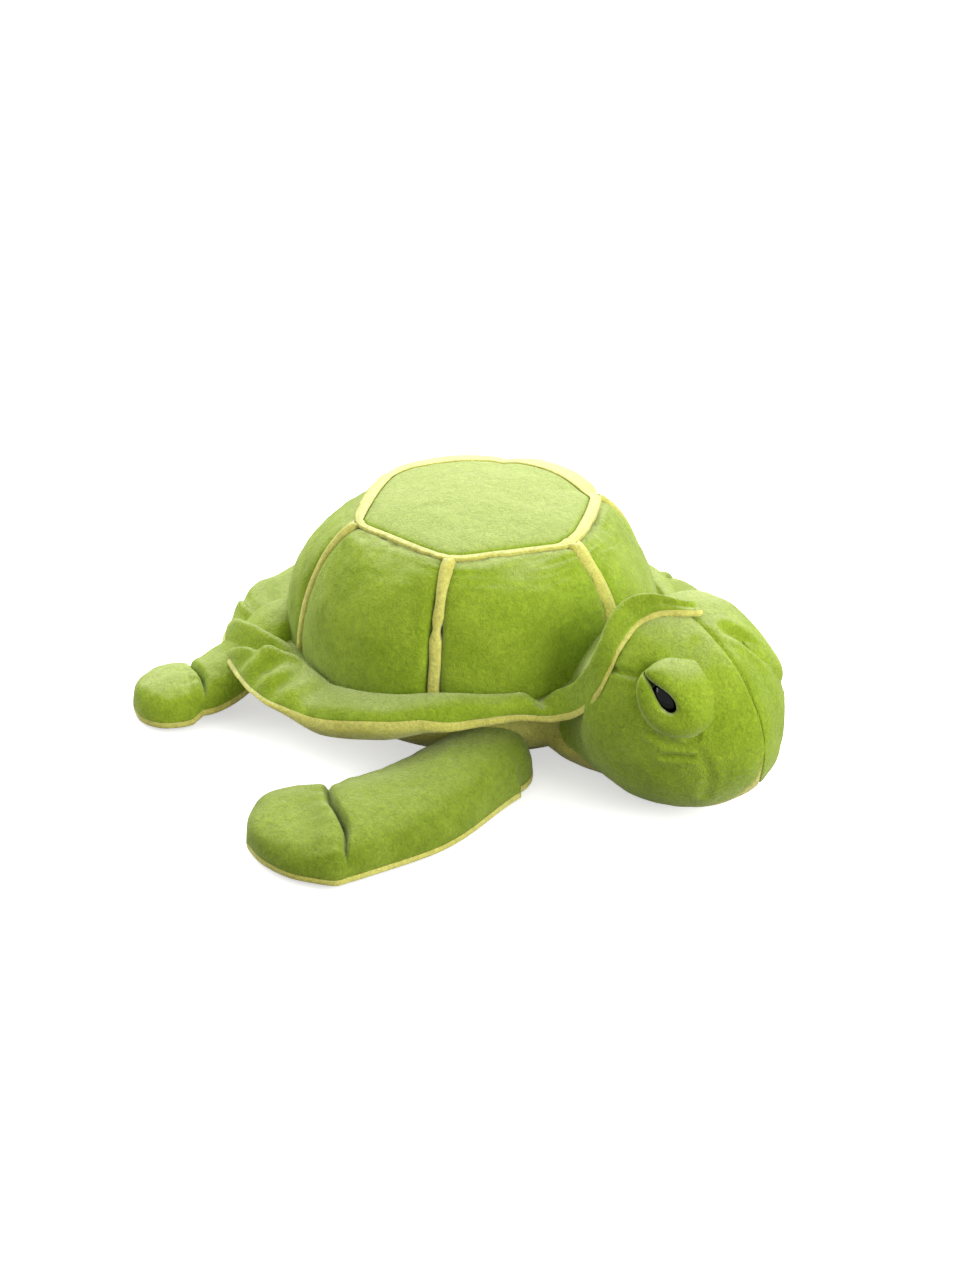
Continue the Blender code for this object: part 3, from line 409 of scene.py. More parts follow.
# The top binding: (degrees round the shell, width in mm), and (outward, lift) in mm of the middle of each side
BAND_WIDTHS = ((0, 5.5), (50, 6), (68, 13), (165, 12), (182, 9), (232, 7), (246, 2.4), (352, 2.4), (360, 5.5))
SIDE_BOWS = ((3.5, 2.5), (7.5, 5.5), (6, 3.5), (3, 1), (0.5, 0), (0.5, -0.5))


def band_width(theta):
    """How much of the yellow binding lies flat on the top: wide at the far side, rolled under near."""
    return MM * table(math.degrees(theta) % 360, BAND_WIDTHS)


def side_bow(theta):
    """How far the middle of a top edge bows outward and lifts: most on the far sides."""
    outward, lift = SIDE_BOWS[int(theta / corner(1)) % SIDES]
    across = side_share(theta)
    share = 4 * across * (1 - across)
    far = 3 * hill(turn_between(theta, corner(2)), 0.8) + 3 * hill(turn_between(theta, corner(3)), 0.7)
    return (outward * share + 0.5 * far) * MM, (lift * share + far) * MM


def make_top():
    around, rings = 240, 26
    angles = [2 * math.pi * i / around for i in range(around)]

    def crown(theta, share):
        outward, lift = side_bow(theta)
        round_off = 2.5 * MM * hill(min(side_share(theta), 1 - side_share(theta)), 0.07)
        radius = (hexagon_radius(theta) + outward - round_off) * share
        height = TOP_HEIGHT + CROWN * (1 - share * share) * 0.9 + lift * share ** 3 - 1.2 * MM * share ** 10
        return radius, height + 1.2 * MM

    def top_point(theta, share, lift=0.0):
        radius, height = crown(theta, share)
        spot = polar(radius, theta, height + lift)
        return spot + Vector((0, 0, nap(spot, 0.9) * (1 - share ** 6)))

    rows = [[top_point(0, 0)]]
    for ring in range(1, rings + 1):
        line = []
        for theta in angles:
            inner = 1 - (band_width(theta) - 0.6 * MM) / hexagon_radius(theta)
            share = inner * (ring / rings) ** 0.8
            edge = (1 - ring / rings) * 80
            line.append(top_point(theta, share, -1.6 * MM * math.exp(-edge / 2.0)))
        rows.append(line)
    piece = sheet_object("plush_top", rows, GREEN, True)
    settle(thicken(piece, CLOTH), "body", ["shell_top_panel"])

    rows = []
    steps = 14
    for step in range(steps + 1):
        line = []
        for theta in angles:
            share = step / steps
            wave = ripple(polar(1, theta, 0), 0.055, 2.0) + 0.8 * ripple(polar(1, theta, 0), 0.13, 6.0)
            inner = 1 - band_width(theta) / hexagon_radius(theta)
            outer = 1.020 + 0.010 * wave
            flat = lerp(inner, outer, min(1.0, share * 1.35))
            radius, height = crown(theta, min(flat, 1.0))
            radius *= max(1.0, flat)
            roll = max(0.0, share * 1.35 - 1) / 0.35
            radius -= 4.5 * MM * roll ** 2
            height -= (4.2 + 0.8 * wave) * MM * math.sin(roll * math.pi / 2)
            pillow = math.sin(math.pi * clamp(share * 1.35)) ** 0.6
            spot = polar(radius, theta, height + (0.9 * pillow - 0.3) * MM)
            line.append(spot + Vector((0, 0, nap(spot, 0.35))))
        rows.append(line)
    piece = sheet_object("plush_binding", rows, YELLOW, True)
    settle(thicken(piece, THIN_CLOTH), "body", ["shell_top_binding"])


# Rim: (degrees round the shell, mm), but RIM_CREST, whose values are shares of the width
RIM_WIDTH = ((-180, 48), (-150, 47.5), (-135, 46.5), (-120, 44), (-106, 41), (-92, 34), (-60, 25), (-35, 21),
             (-22, 15), (-10, 18), (2, 25), (10, 25), (20, 15), (35, 15), (60, 24), (90, 33), (120, 44),
             (150, 49), (180, 49))
RIM_RIDGE = ((-180, 10), (-140, 12), (-120, 13), (-95, 13), (-60, 10), (-25, 9), (5, 9), (25, 7), (60, 10),
             (130, 11), (180, 10))
RIM_CREST = ((-180, 0.6), (-150, 0.78), (-135, 0.72), (-118, 0.40), (-100, 0.24), (-60, 0.34), (-20, 0.45),
             (60, 0.36), (120, 0.5), (180, 0.6))
RIM_BELLY = ((-180, 9), (-135, 4), (-110, 4), (-98, 9), (-88, 16), (-72, 16), (-60, 13), (-45, 9), (-20, 5),
             (5, 7), (30, 6), (48, 7), (66, 14), (95, 15), (140, 12), (180, 9))
RIM_EDGE = ((-180, -4), (-150, -5), (-130, -4), (-110, -3), (-95, 0), (-75, 1), (-60, 0), (60, -1), (95, -2),
            (130, 2), (180, -4))
HOOD_ROLL = ((-16, 7), (-10, 4.5), (-6, 1.0), (8, 0.5), (20, 3))

# Folds of the rim: (degrees, height in mm, width in degrees), and at the neck also (share across, its width)
SLANTED_FOLDS = ((-126.5, 4.6, 2.8), (-132, -8.0, 3.2), (-139, 4.0, 3.0), (-146.5, -7.0, 3.0), (-151, 2.6, 2.0),
                 (-155.5, -4.8, 2.2), (-164, 1.5, 4.0), (-174, -2.4, 4.0))
RADIAL_FOLDS = ((-99, 1.4, 2.0), (-103.5, -4.0, 2.0), (-107, 3.2, 1.8), (-111, -4.4, 2.1), (-115, 3.6, 1.8),
                (-119, -3.8, 2.0))
NECK_FOLDS = ((-20, -3.4, 9, 0.36, 0.07), (-27, 2.0, 2.4, 0.5, 0.3), (-31, -3.4, 2.2, 0.45, 0.3))

# The hood, where the rim lies over the back of the head: (degrees, reach, height) of its edge in mm
HOOD = ((-62, 150, 46), (-56, 147, 49), (-46, 145, 54), (-38, 145, 56), (-30, 149, 55), (-26.4, 158, 60),
        (-25, 167, 67), (-23.9, 177, 79), (-22.6, 183, 92), (-21, 183, 102), (-19.6, 181, 109),
        (-17, 179, 117.5), (-14.4, 178, 123), (-12, 181, 128), (-9.6, 187, 131), (-7.5, 195, 132),
        (-5, 199, 131), (-2, 194, 125), (3, 181, 112), (8, 170, 98), (11, 159, 90), (14, 150, 72),
        (20, 143, 57), (30, 140, 49))
HOOD_REACH = tuple((degrees, reach) for degrees, reach, height in HOOD)
HOOD_HEIGHT = tuple((degrees, height) for degrees, reach, height in HOOD)


def hermite(stations, share):
    """A point at a share of a smooth curve through five stations."""
    place = clamp(share) * 4
    index = min(3, int(place))
    t = place - index
    before, a = stations[max(0, index - 1)], stations[index]
    b, after = stations[index + 1], stations[min(4, index + 2)]
    t2, t3 = t * t, t * t * t
    return [(2 * t3 - 3 * t2 + 1) * a[k] + (t3 - 2 * t2 + t) * (b[k] - before[k]) / 2
            + (3 * t2 - 2 * t3) * b[k] + (t3 - t2) * (after[k] - a[k]) / 2 for k in range(2)]


@functools.cache
def rim_profile(theta):
    """Wall radius, width, hood share and the stations of the rim's top and underside at an angle."""
    degrees = math.degrees(turn_between(theta, 0))
    hood = smooth((degrees + 62) / 14) * smooth((26 - degrees) / 8)
    over_head = smooth((degrees + 36) / 8) * smooth((26 - degrees) / 8)
    wall = dome_point(theta, drop_at(rim_height(theta)), PUFF * 0.5).xy.length
    width = lerp(MM * table(degrees, RIM_WIDTH), table(degrees, HOOD_REACH) * MM - wall, hood)
    ridge = MM * table(degrees, RIM_RIDGE)
    crest = width * table(degrees, RIM_CREST)
    belly = MM * table(degrees, RIM_BELLY)
    edge = lerp(MM * table(degrees, RIM_EDGE), table(degrees, HOOD_HEIGHT) * MM - rim_height(theta), hood)
    roll = MM * table(degrees, HOOD_ROLL)
    ridge = lerp(ridge, edge + roll, over_head)
    crest = lerp(crest, max(0.45 * width, width - lerp(9 * MM, 17 * MM, roll / (7 * MM))), over_head)
    shoulder = lerp(0.78, 0.22, over_head)
    valley = lerp(crest * 0.5, max(crest * 0.5, crest - 10 * MM), over_head)
    top = ((-3 * MM, ridge * lerp(0.3, 0.1, over_head)), (valley, ridge * shoulder),
           (crest, ridge), (lerp(crest, width, 0.66), lerp(ridge, edge, 0.42)), (width, edge))
    under = ((width, edge), (width + 0.3 * MM, edge - lerp(belly * 0.5, 4 * MM, over_head)),
             (lerp(width * 0.70, width - 10 * MM, over_head), lerp(-belly, edge - 8 * MM, over_head)),
             (width * 0.30, lerp(-belly * 0.95, edge * 0.15 - 9 * MM, over_head)), (-3 * MM, -belly * 0.5))
    return wall, width, over_head, top, under


def rim_folds(degrees, outer):
    """Height in mm of the rim's soft folds: slanted at the rear, short and radial before them."""
    slide = degrees - 23 * (1 - outer)
    height = sum(high * hill(slide - place, wide) for place, high, wide in SLANTED_FOLDS)
    radial = sum(high * hill(degrees - place, wide) for place, high, wide in RADIAL_FOLDS)
    height += radial * smooth(outer * 2 - 0.5)
    height -= 4.0 * hill(degrees + 94, 3.0) * (1 - outer * 0.4)
    height += 1.6 * math.cos(math.radians(degrees * 33)) * hill(degrees - 130, 26)
    return height + 1.5 * ripple(Vector((degrees / 10, outer * 0.8, 0.0)), 1.0)


def rim_point(theta, share):
    """A point of the rim: share 0 to 1 goes out over its top, 1 to 2 comes back underneath."""
    wall, width, hood, top, under = rim_profile(theta)
    out, up = hermite(top, share) if share < 1 else hermite(under, share - 1)
    degrees = math.degrees(turn_between(theta, 0))
    outer = clamp(out / width)
    depth = math.sin(math.pi * clamp(outer * 0.9)) * (1 if share < 1 else 0.3) * (1 - hood)
    up += rim_folds(degrees, outer) * MM * depth
    if share < 1:
        for place, high, wide, middle, spread in NECK_FOLDS:
            up += high * MM * hill(degrees - place, wide) * hill(share - middle, spread)
    wave = 2.2 * ripple(Vector((degrees / 23, 9.0, 0.0)), 1.0) * outer * (1 - 0.6 * hood)
    spot = polar(wall + out + wave * MM * 0.6, theta, rim_height(theta) + up + wave * MM * 0.5)
    spot += Vector((math.cos(theta), math.sin(theta), 0.6)) * nap(spot, 0.5)
    seam_pull = 1.4 * MM * math.exp(-abs(share - 1) * 18)
    return spot - polar(seam_pull, theta, 0)


def make_rim():
    steps = 34
    angles = [math.radians(degrees) for degrees in list(range(0, 322)) + [322 + i / 3 for i in range(114)]]
    cloths = (("plush_rim_upper", 0, "rim_upper_panel", GREEN, "green_plush"),
              ("plush_rim_lower", 1, "rim_lower_panel", YELLOW, "yellow_plush"))
    for name, start, node, look, slot in cloths:
        rows = [[rim_point(theta, start + step / steps) for theta in angles] for step in range(steps + 1)]
        piece = sheet_object(name, rows, look, True)
        nodes = [node, "rim_wadding"] if start == 0 else [node]
        settle(piece, "body", nodes)


def make_belly():
    """The underside: down the wall from the rim's seam, round the foot and flat to the middle."""
    around, steps = 120, 24
    wall_share, bend_share = 0.4, 0.45
    lift = 0.2 * MM
    rows = []
    for step in range(steps + 1):
        line = []
        for i in range(around):
            theta = 2 * math.pi * i / around
            share = step / steps
            if share < wall_share:
                down = share / wall_share
                spot = dome_point(theta, lerp(drop_at(rim_height(theta)), 1.0, down), PUFF * 0.4)
                line.append(polar(spot.xy.length - lerp(1.5, 3.0, down) * MM, theta, spot.z))
                continue
            bend = math.pi / 2 * clamp((share - wall_share) / bend_share)
            radius = foot_radius(theta)
            reach = lerp(radius * 0.72, radius - 3.0 * MM, math.cos(bend) ** 2)
            inward = clamp((share - wall_share - bend_share) / (1 - wall_share - bend_share))
            height = FOOT_HEIGHT * (1 - math.sin(bend)) + lift
            line.append(polar(reach * (1 - 0.9 * inward), theta, height))
        rows.append(line)
    rows.append([Vector((0, 0, lift))])
    piece = sheet_object("plush_belly", rows, YELLOW, True)
    settle(piece, "body", ["belly_panel", "body_stuffing"])


# Head and neck, in the head's frame: X along the head from the neck's centre, Y left, Z up
HEAD_CENTRE = Vector((53, 0, 65)) * MM
HEAD_AXES = Vector((91, 62, 66.5)) * MM
HEAD_FRONT = HEAD_CENTRE.x + HEAD_AXES.x
HEAD_BACK, NAPE, NECK_BOTTOM = -34 * MM, -4 * MM, 1 * MM
HEAD_ROLL = math.radians(4.5)
# Half width and top of the head's back, and the throat's seam: (mm along the head, mm or degrees from the top)
BACK_HALF = ((-34, 43), (0, 45), (20, 49.5), (30, 53), (40, 57.5), (47, 60.3), (53, 62))
BACK_TOP = ((-34, 90), (10, 91), (22, 99), (32, 112), (42, 123), (53, 128.5), (62, 131.5))
CHIN_SEAM = ((-34, 95), (3, 98), (18, 107), (35, 118), (51, 137), (80, 147), (107, 153), (123, 161), (136, 173),
             (143, 178))
EYE_AZIMUTH, EYE_ELEVATION, EYE_SKEW = math.radians(54), math.radians(29), math.radians(5.5)
EYE_LONG, EYE_WIDE, EYE_HEIGHT = 10.4 * MM, 8.0 * MM, 7.4 * MM
LID_SLANT = math.radians(22)
LID_CENTRE, LID_RADIUS = (2.3, 6.1), 25.6
# How deep each eye sits, and how high its lid stands, by side: -1 right, 1 left
EYE_DEPTH = {-1: 1.5 * MM, 1: 6.0 * MM}
LID_HEIGHT = {-1: 9.6, 1: 2.4}


def head_pose(spot):
    """Places a point of the head: turned on the neck, and rolled a little towards the right eye."""
    roll = Matrix.Rotation(HEAD_ROLL * smooth((spot.x - NAPE) / (44 * MM)), 3, "X")
    middle = Vector((0, 0, HEAD_CENTRE.z))
    spot = Matrix.Rotation(HEAD_YAW, 3, "Z") @ (roll @ (spot - middle) + middle) + Vector((NECK.x, 0, 0))
    return Vector((spot.x, spot.y, max(spot.z, 0.3 * MM)))


def head_section(along):
    """Half width, top and bottom of the head at a distance along it."""
    if along > HEAD_CENTRE.x:
        share = (along - HEAD_CENTRE.x) / HEAD_AXES.x
        tall = math.sqrt(max(0.0, 1 - share * share))
        sunk = 3 * MM * (1 - smooth((along - HEAD_CENTRE.x) / (22 * MM)))
        return HEAD_AXES.y * tall, HEAD_CENTRE.z + HEAD_AXES.z * tall - sunk, HEAD_CENTRE.z * (1 - tall)
    share = smooth((along - NAPE) / (HEAD_CENTRE.x - NAPE))
    half, top = MM * table(along / MM, BACK_HALF), MM * table(along / MM, BACK_TOP)
    return half, top, lerp(NECK_BOTTOM, 0, share)


def head_raw(along, around):
    half, top, bottom = head_section(along)
    c, s = math.cos(around), math.sin(around)
    if c < 0:
        power = lerp(0.62, 0.9, smooth(along / HEAD_CENTRE.x))
        half *= 1 + 0.24 * (1 - smooth(along / HEAD_CENTRE.x)) * smooth(-2 * c)
        c, s = -abs(c) ** power, math.copysign(abs(s) ** power, s)
    return Vector((along, half * s, (top + bottom) / 2 + (top - bottom) / 2 * c))


def chin_turn(along):
    """Turn from the top to the seam of the yellow throat: high on the neck, closed under the nose."""
    return math.radians(table(along / MM, CHIN_SEAM))


def head_normal(spot):
    away = spot - HEAD_CENTRE
    return Vector([away[k] / HEAD_AXES[k] ** 2 for k in range(3)]).normalized()


def head_cast(spot, outward):
    """Where the line through a spot leaves the head's ellipsoid."""
    away = spot - HEAD_CENTRE
    start = Vector([away[k] / HEAD_AXES[k] for k in range(3)])
    step = Vector([outward[k] / HEAD_AXES[k] for k in range(3)])
    a, b, c = step.dot(step), start.dot(step), start.dot(start) - 1
    return spot + outward * ((-b + math.sqrt(max(0.0, b * b - a * c))) / a)


def eye_place(side):
    azimuth = EYE_AZIMUTH + side * EYE_SKEW
    flat = math.cos(EYE_ELEVATION)
    away = (flat * math.cos(azimuth), side * flat * math.sin(azimuth), math.sin(EYE_ELEVATION))
    return HEAD_CENTRE + Vector([away[k] * HEAD_AXES[k] for k in range(3)])


EYE = {side: eye_place(side) for side in (-1, 1)}


def eye_axes(side):
    """Outward, along the lids' slit and across it, at an eye."""
    outward = head_normal(EYE[side])
    forward = Vector((1, 0, 0))
    forward = (forward - outward * outward.x).normalized()
    upward = outward.cross(forward) * -side
    c, s = math.cos(LID_SLANT), math.sin(LID_SLANT)
    return outward, forward * c - upward * s, upward * c + forward * s


def by_eye(side, along, across, height=0.0):
    """A point near an eye: mm along the slit, across it and above the head."""
    outward, slit, cross = eye_axes(side)
    spot = head_cast(EYE[side] + (slit * along + cross * across) * MM, outward)
    return spot + (outward + head_normal(spot)).normalized() * (height * MM)


def head_lines(side):
    """Stitched lines and creases on one side of the head, each with its depth and width in mm."""
    def spot(x, y, z):
        return Vector((x, side * y, z)) * MM
    dart = [spot(40, 45, 108), spot(53, 51, 103), spot(70, 49, 104), spot(80, 46, 105)]
    jowl = [spot(127, 36, 69), spot(131, 32, 60), spot(130, 30, 50), spot(124, 28, 37)]
    brow = [spot(98, 12, 122), spot(105, 20, 115), spot(112, 27, 104)]
    pucker = [by_eye(side, 20, -27), by_eye(side, 26, -20), by_eye(side, 32, -13)]
    under = [by_eye(side, 27, -2), by_eye(side, 24, -12), by_eye(side, 16, -19), by_eye(side, 8, -21)]
    return ((dart, 1.9, 1.9), (jowl, 0.9, 3.0), (brow, 2.0 + side, 3.6), (pucker, 2.4, 1.6),
            (under, 1.6, 2.0))


HEAD_LINES = {side: head_lines(side) for side in (-1, 1)}
SLITS = {side: [by_eye(side, -20, 0), by_eye(side, 7, 0)] for side in (-1, 1)}


def head_point(along, around, depth=0.0):
    spot = head_raw(along, around)
    step = 0.6 * MM
    ahead = head_raw(min(along + step, HEAD_FRONT), around) - head_raw(along - step, around)
    sideways = head_raw(along, around + 0.01) - head_raw(along, around - 0.01)
    outward = ahead.cross(sideways)
    outward = -outward.normalized() if outward.length > 1e-12 else Vector((1, 0, 0))
    if outward.dot(spot - Vector((spot.x * 0.9, 0, HEAD_CENTRE.z))) < 0:
        outward = -outward
    side = 1 if spot.y > 0 else -1
    push = nap(spot, 0.7) / MM
    far, high = smooth(spot.y / (30 * MM)), smooth((spot.z - 80 * MM) / (30 * MM))
    push += 3.5 * far * high * hill((along - 58 * MM) / MM, 34)
    ahead_share = smooth((along - 90 * MM) / (30 * MM))
    push -= 3 * smooth(spot.y / (20 * MM)) * ahead_share * smooth(spot.z / (60 * MM))
    push += 2 * smooth((60 * MM - spot.z) / (40 * MM)) * smooth((along - 50 * MM) / (30 * MM))
    if along > 10 * MM:
        for line, deep, width in HEAD_LINES[side]:
            away = near_line(spot, line) / MM
            push += -deep * hill(away, width) + 0.35 * deep * hill(away - 2.2 * width, width)
        push += 2.2 * hill((spot - EYE[side]).length / MM, 24)
        push -= 7.5 * hill(near_line(spot, SLITS[side]) / MM, 7.5)
    return spot + outward * (push * MM - depth)


def make_head():
    """Two green panels and the yellow throat, from stations that crowd towards the nose."""
    steps, back_share, nose = 96, 0.4, 0.99999
    stations = []
    for step in range(steps + 1):
        share = step / steps
        if share < back_share:
            stations.append(lerp(HEAD_BACK, HEAD_CENTRE.x, share / back_share))
        else:
            turn = (share - back_share) / (1 - back_share) * math.pi / 2
            stations.append(HEAD_CENTRE.x + HEAD_AXES.x * math.sin(turn) * nose)
    parts = (
        ("plush_head_left", 84, GREEN, ["head_left_panel", "head_stuffing", "neck_upper_panel"]),
        ("plush_head_right", 84, GREEN, ["head_right_panel", "neck_stuffing"]),
        ("plush_throat", 36, YELLOW, ["chin_panel", "throat_panel"]),
    )
    for name, columns, look, nodes in parts:
        rows = []
        for along in stations:
            seam = chin_turn(along)
            spans = {"plush_head_left": (0, seam), "plush_head_right": (-seam, 0)}
            first, last = spans.get(name, (seam, 2 * math.pi - seam))
            line = []
            for column in range(columns + 1):
                share = column / columns
                edge = min(share, 1 - share) * (last - first) * 60
                sink = 1.5 * MM * math.exp(-edge / 1.1)
                line.append(head_pose(head_point(along, lerp(first, last, share), sink)))
            rows.append(line)
        piece = sheet_object(name, rows, look)
        settle_head(piece, nodes)


def settle_head(piece, nodes):
    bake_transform(piece)
    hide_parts(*nodes)


def make_eyes():
    """Glossy black domes in the slits of the lids."""
    around, steps = 48, 16
    for side, name in ((1, "left"), (-1, "right")):
        outward, slit, cross = eye_axes(side)
        rows = []
        for step in range(steps + 1):
            rise = math.pi / 2 * step / steps
            ring = []
            for i in range(around):
                turn = 2 * math.pi * i / around
                reach = slit * (EYE_LONG * math.cos(turn)) + cross * (EYE_WIDE * math.sin(turn))
                spot = EYE[side] - slit * (1.5 * MM) + reach * math.sin(rise)
                ring.append(head_pose(spot + outward * (EYE_HEIGHT * math.cos(rise) - EYE_DEPTH[side])))
            rows.append(ring if step else ring[:1])
        piece = sheet_object("eye_" + name, rows, BLACK, True)
        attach(piece, "head")
        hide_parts(name + "_eye")


def make_eyelids():
    """Padded mounds: from the slit's edge, share 0, over the top and down to the head, share 1."""
    around, steps = 120, 22
    for side, name in ((1, "left"), (-1, "right")):
        rows = []
        for step in range(steps + 1):
            share = step / steps
            line = []
            for i in range(around):
                turn = 2 * math.pi * i / around
                c, s = math.cos(turn), math.sin(turn)
                along = -5.9 + 14.3 * c
                open_half = 4.8 * lerp(0.02, 1.25, smooth((along + 21) / 32)) * s
                outer = (LID_CENTRE[0] + LID_RADIUS * c, LID_CENTRE[1] + LID_RADIUS * s)
                low = smooth(0.5 - 1.6 * s + 0.5 * c)
                tip = hill(turn - math.pi, 0.42)
                tall = LID_HEIGHT[side] * (1 - 0.5 * tip) * (1 - 0.12 * low)
                rise = tall * (1 - share ** lerp(1.8, 4.5, low)) ** lerp(1.5, 0.8, low)
                rise -= 3.6 * math.exp(-share / 0.06) + 3.2 * share ** 5
                spot = by_eye(side, lerp(along, outer[0], share), lerp(open_half, outer[1], share), rise)
                rub = nap(spot, 0.45 * (1 - share ** 4))
                line.append(head_pose(spot + head_normal(spot) * rub))
            rows.append(line)
        piece = sheet_object("plush_eyelid_" + name, rows, GREEN, True)
        settle(thicken(piece, THIN_CLOTH), "head", [name + "_eyelid"])


# Flippers
FLIPPER_SEAM = 8 * MM
# Paddle outlines beyond the crease: (towards the leading edge, outward) in mm from the crease's middle
FRONT_TRAIL = ((-48.5, 4), (-54.5, 22), (-48.5, 39), (-29, 50.5), (-5, 54.5))
FRONT_LEAD = ((45.5, 9), (40, 21), (31, 34.5), (14, 47.5), (-5, 54.5))
REAR_TRAIL = ((-31.5, 4), (-34.5, 14), (-28.5, 28), (-15, 40), (1, 45))
REAR_LEAD = ((30, 5), (33, 15), (30.5, 30), (18.5, 41.5), (1, 45))


def curve(points, share):
    """A point at a share of a smooth curve through points, by its lengths."""
    points = [Vector(p) for p in points]
    lengths = [(b - a).length for a, b in zip(points, points[1:])]
    reach = share * sum(lengths)
    index = 0
    while index < len(lengths) - 1 and reach > lengths[index]:
        reach -= lengths[index]
        index += 1
    t = clamp(reach / lengths[index])
    a, b = points[index], points[index + 1]
    before = points[index - 1] if index else a * 2 - b
    after = points[index + 2] if index + 2 < len(points) else b * 2 - a
    return 0.5 * ((2 * a) + (b - before) * t + (2 * before - 5 * a + 4 * b - after) * t * t
                  + (3 * a - before - 3 * b + after) * t ** 3)


class Flipper:
    """A stuffed arm from its shoulder to a slanted crease, and a round paddle beyond it."""

    def __init__(self, side, place, radius, half_width, arm, lean, slant, heights, paddle, raised, bend):
        self.side, self.radius, self.half_width, self.arm = side, radius, half_width, arm
        self.lean, self.heights, self.raised, self.bend = lean, heights, raised, bend
        self.shoulder = Vector((place[0], side * place[1], 0)) * MM
        spot = self.shoulder.copy()
        self.spine = [spot.copy()]
        for i in range(96):
            spot += self.heading((i + 0.5) / 96 * 1.3 * arm) * (1.3 * arm / 96)
            self.spine.append(spot.copy())
        self.offset = half_width * math.tan(slant)
        self.lead, self.trail = self.edge(arm + self.offset, 1), self.edge(arm - self.offset, -1)
        self.line = (self.lead - self.trail).normalized()
        normal = Vector((-self.line.y, self.line.x, 0))
        self.normal = normal * math.copysign(1, normal.dot(self.heading(arm)))
        self.middle_of_crease = (self.lead + self.trail) / 2
        half = (self.lead - self.trail).length / 2 / MM
        self.paddle = [((-half, 0),) + paddle[0], ((half, 0),) + paddle[1]]

    def heading(self, along):
        back = self.lean + self.bend * smooth((along / self.arm - 0.1) / 0.9)
        return Vector((-math.sin(back), self.side * math.cos(back), 0))

    def middle(self, along):
        share = clamp(along / (1.3 * self.arm)) * 96
        index = min(int(share), 95)
        return self.spine[index].lerp(self.spine[index + 1], share - index)

    def ahead(self, along):
        heading = self.heading(along)
        return Vector((heading.y * self.side, -heading.x * self.side, 0))

    def edge(self, along, side):
        """The seam line: narrow at the root, fullest past the middle of the arm, most of all in front."""
        share = along / self.arm
        half = lerp(self.radius, self.half_width, smooth(share * 1.4))
        half += self.half_width * (0.36 if side > 0 else -0.06) * hill(share - 0.6, 0.56)
        return self.middle(along) + self.ahead(along) * (side * half)

    def off_crease(self, points, share):
        along, outward = curve([Vector(p) for p in points], share)
        return self.middle_of_crease + self.line * (along * MM) + self.normal * (outward * MM)

    def lines(self):
        """(trailing point, leading point, crown height, fullness, lift off the floor) from root to tip."""
        shoulder, arm, tip = self.heights
        result = []
        backward, across = -self.heading(0), self.ahead(0)
        for i in range(12):
            turn = math.pi / 2 * (1 - i / 12)
            back = self.shoulder + backward * (self.radius * math.sin(turn))
            side = across * (self.radius * math.cos(turn))
            full = (1 - math.sin(turn) ** 3) ** 0.5
            result.append((back - side, back + side, shoulder, full, self.raised))
        for i in range(56):
            share = 1 - (1 - i / 55) ** 1.5
            lead = self.edge((self.arm + self.offset) * share, 1)
            trail = self.edge((self.arm - self.offset) * share, -1)
            result.append((trail, lead, lerp(shoulder, arm, smooth(share / 0.7)), 1.0,
                           self.raised * lerp(1, 0.12, smooth(share))))
        for i in range(1, 51):
            share = (i / 50) ** 1.25 if i < 50 else 1.0
            lead, trail = self.off_crease(self.paddle[1], share), self.off_crease(self.paddle[0], share)
            result.append((trail, lead, lerp(arm, tip, smooth(share / 0.3)), (1 - share ** 2) ** 0.55,
                           0.12 * self.raised * (1 - smooth(share * 6))))
        return result

    def height(self, spot, across, crown, full):
        """Height of the upper skin over the seam, with the crease sewn down and puckered."""
        away = (spot - self.middle_of_crease).dot(self.normal) / MM
        along = (spot - self.middle_of_crease).dot(self.line) / MM
        away += 2.2 * math.sin(along / 11) + 1.4 * ripple(Vector((along / 17, 3.0, self.arm * 90)), 1.0)
        power = 2.3 if across > 0 else 2.0
        lift = (crown - FLIPPER_SEAM) * (1 - abs(across) ** power) ** 0.5 * full
        width = 1.0 if away < 0 else 1.9
        groove = lerp(0.62, 0.04, abs(across) ** 4) * math.exp(-(abs(away) / width) ** 1.1)
        swell = 0.05 * hill(away + 12, 8)
        pucker = 0.11 * ripple(Vector((along / 4.5, away / 16, 7.0)), 1.0) * math.exp(-abs(away) / 11)
        pucker *= 0.35 if away < 0 else 1.0
        return lift * (1 - groove + swell + pucker * (1 - groove))

    def skin(self, upper):
        columns = 64
        rows = []
        for trail, lead, crown, full, raised in self.lines():
            row = []
            for column in range(columns + 1):
                across = -math.cos(math.pi * column / columns)
                spot = trail.lerp(lead, (across + 1) / 2)
                if upper:
                    lift = self.height(spot, across, crown, full)
                    place = spot + Vector((0, 0, FLIPPER_SEAM + raised + lift))
                    uneven = nap(place, 1.3) * clamp(lift / (10 * MM))
                    place.z += uneven
                    if full > 0.2:
                        place += (lead - trail).normalized() * (across * uneven * 0.7)
                else:
                    bulge = (1 - abs(across) ** 5) ** 0.5 * full ** 0.5
                    place = spot + Vector((0, 0, raised + max(0.2 * MM, FLIPPER_SEAM * (1 - 1.05 * bulge))))
                    away = (spot - self.middle_of_crease).dot(self.normal) / MM
                    side = (lead - trail).normalized() * math.copysign(1, across)
                    push = (3.4 * hill(bulge - 0.62, 0.38) - 0.7 * hill(away, 2.0)) * abs(across) ** 6
                    place += side * (push * MM * full)
                row.append(place)
            rows.append(row)
        return rows


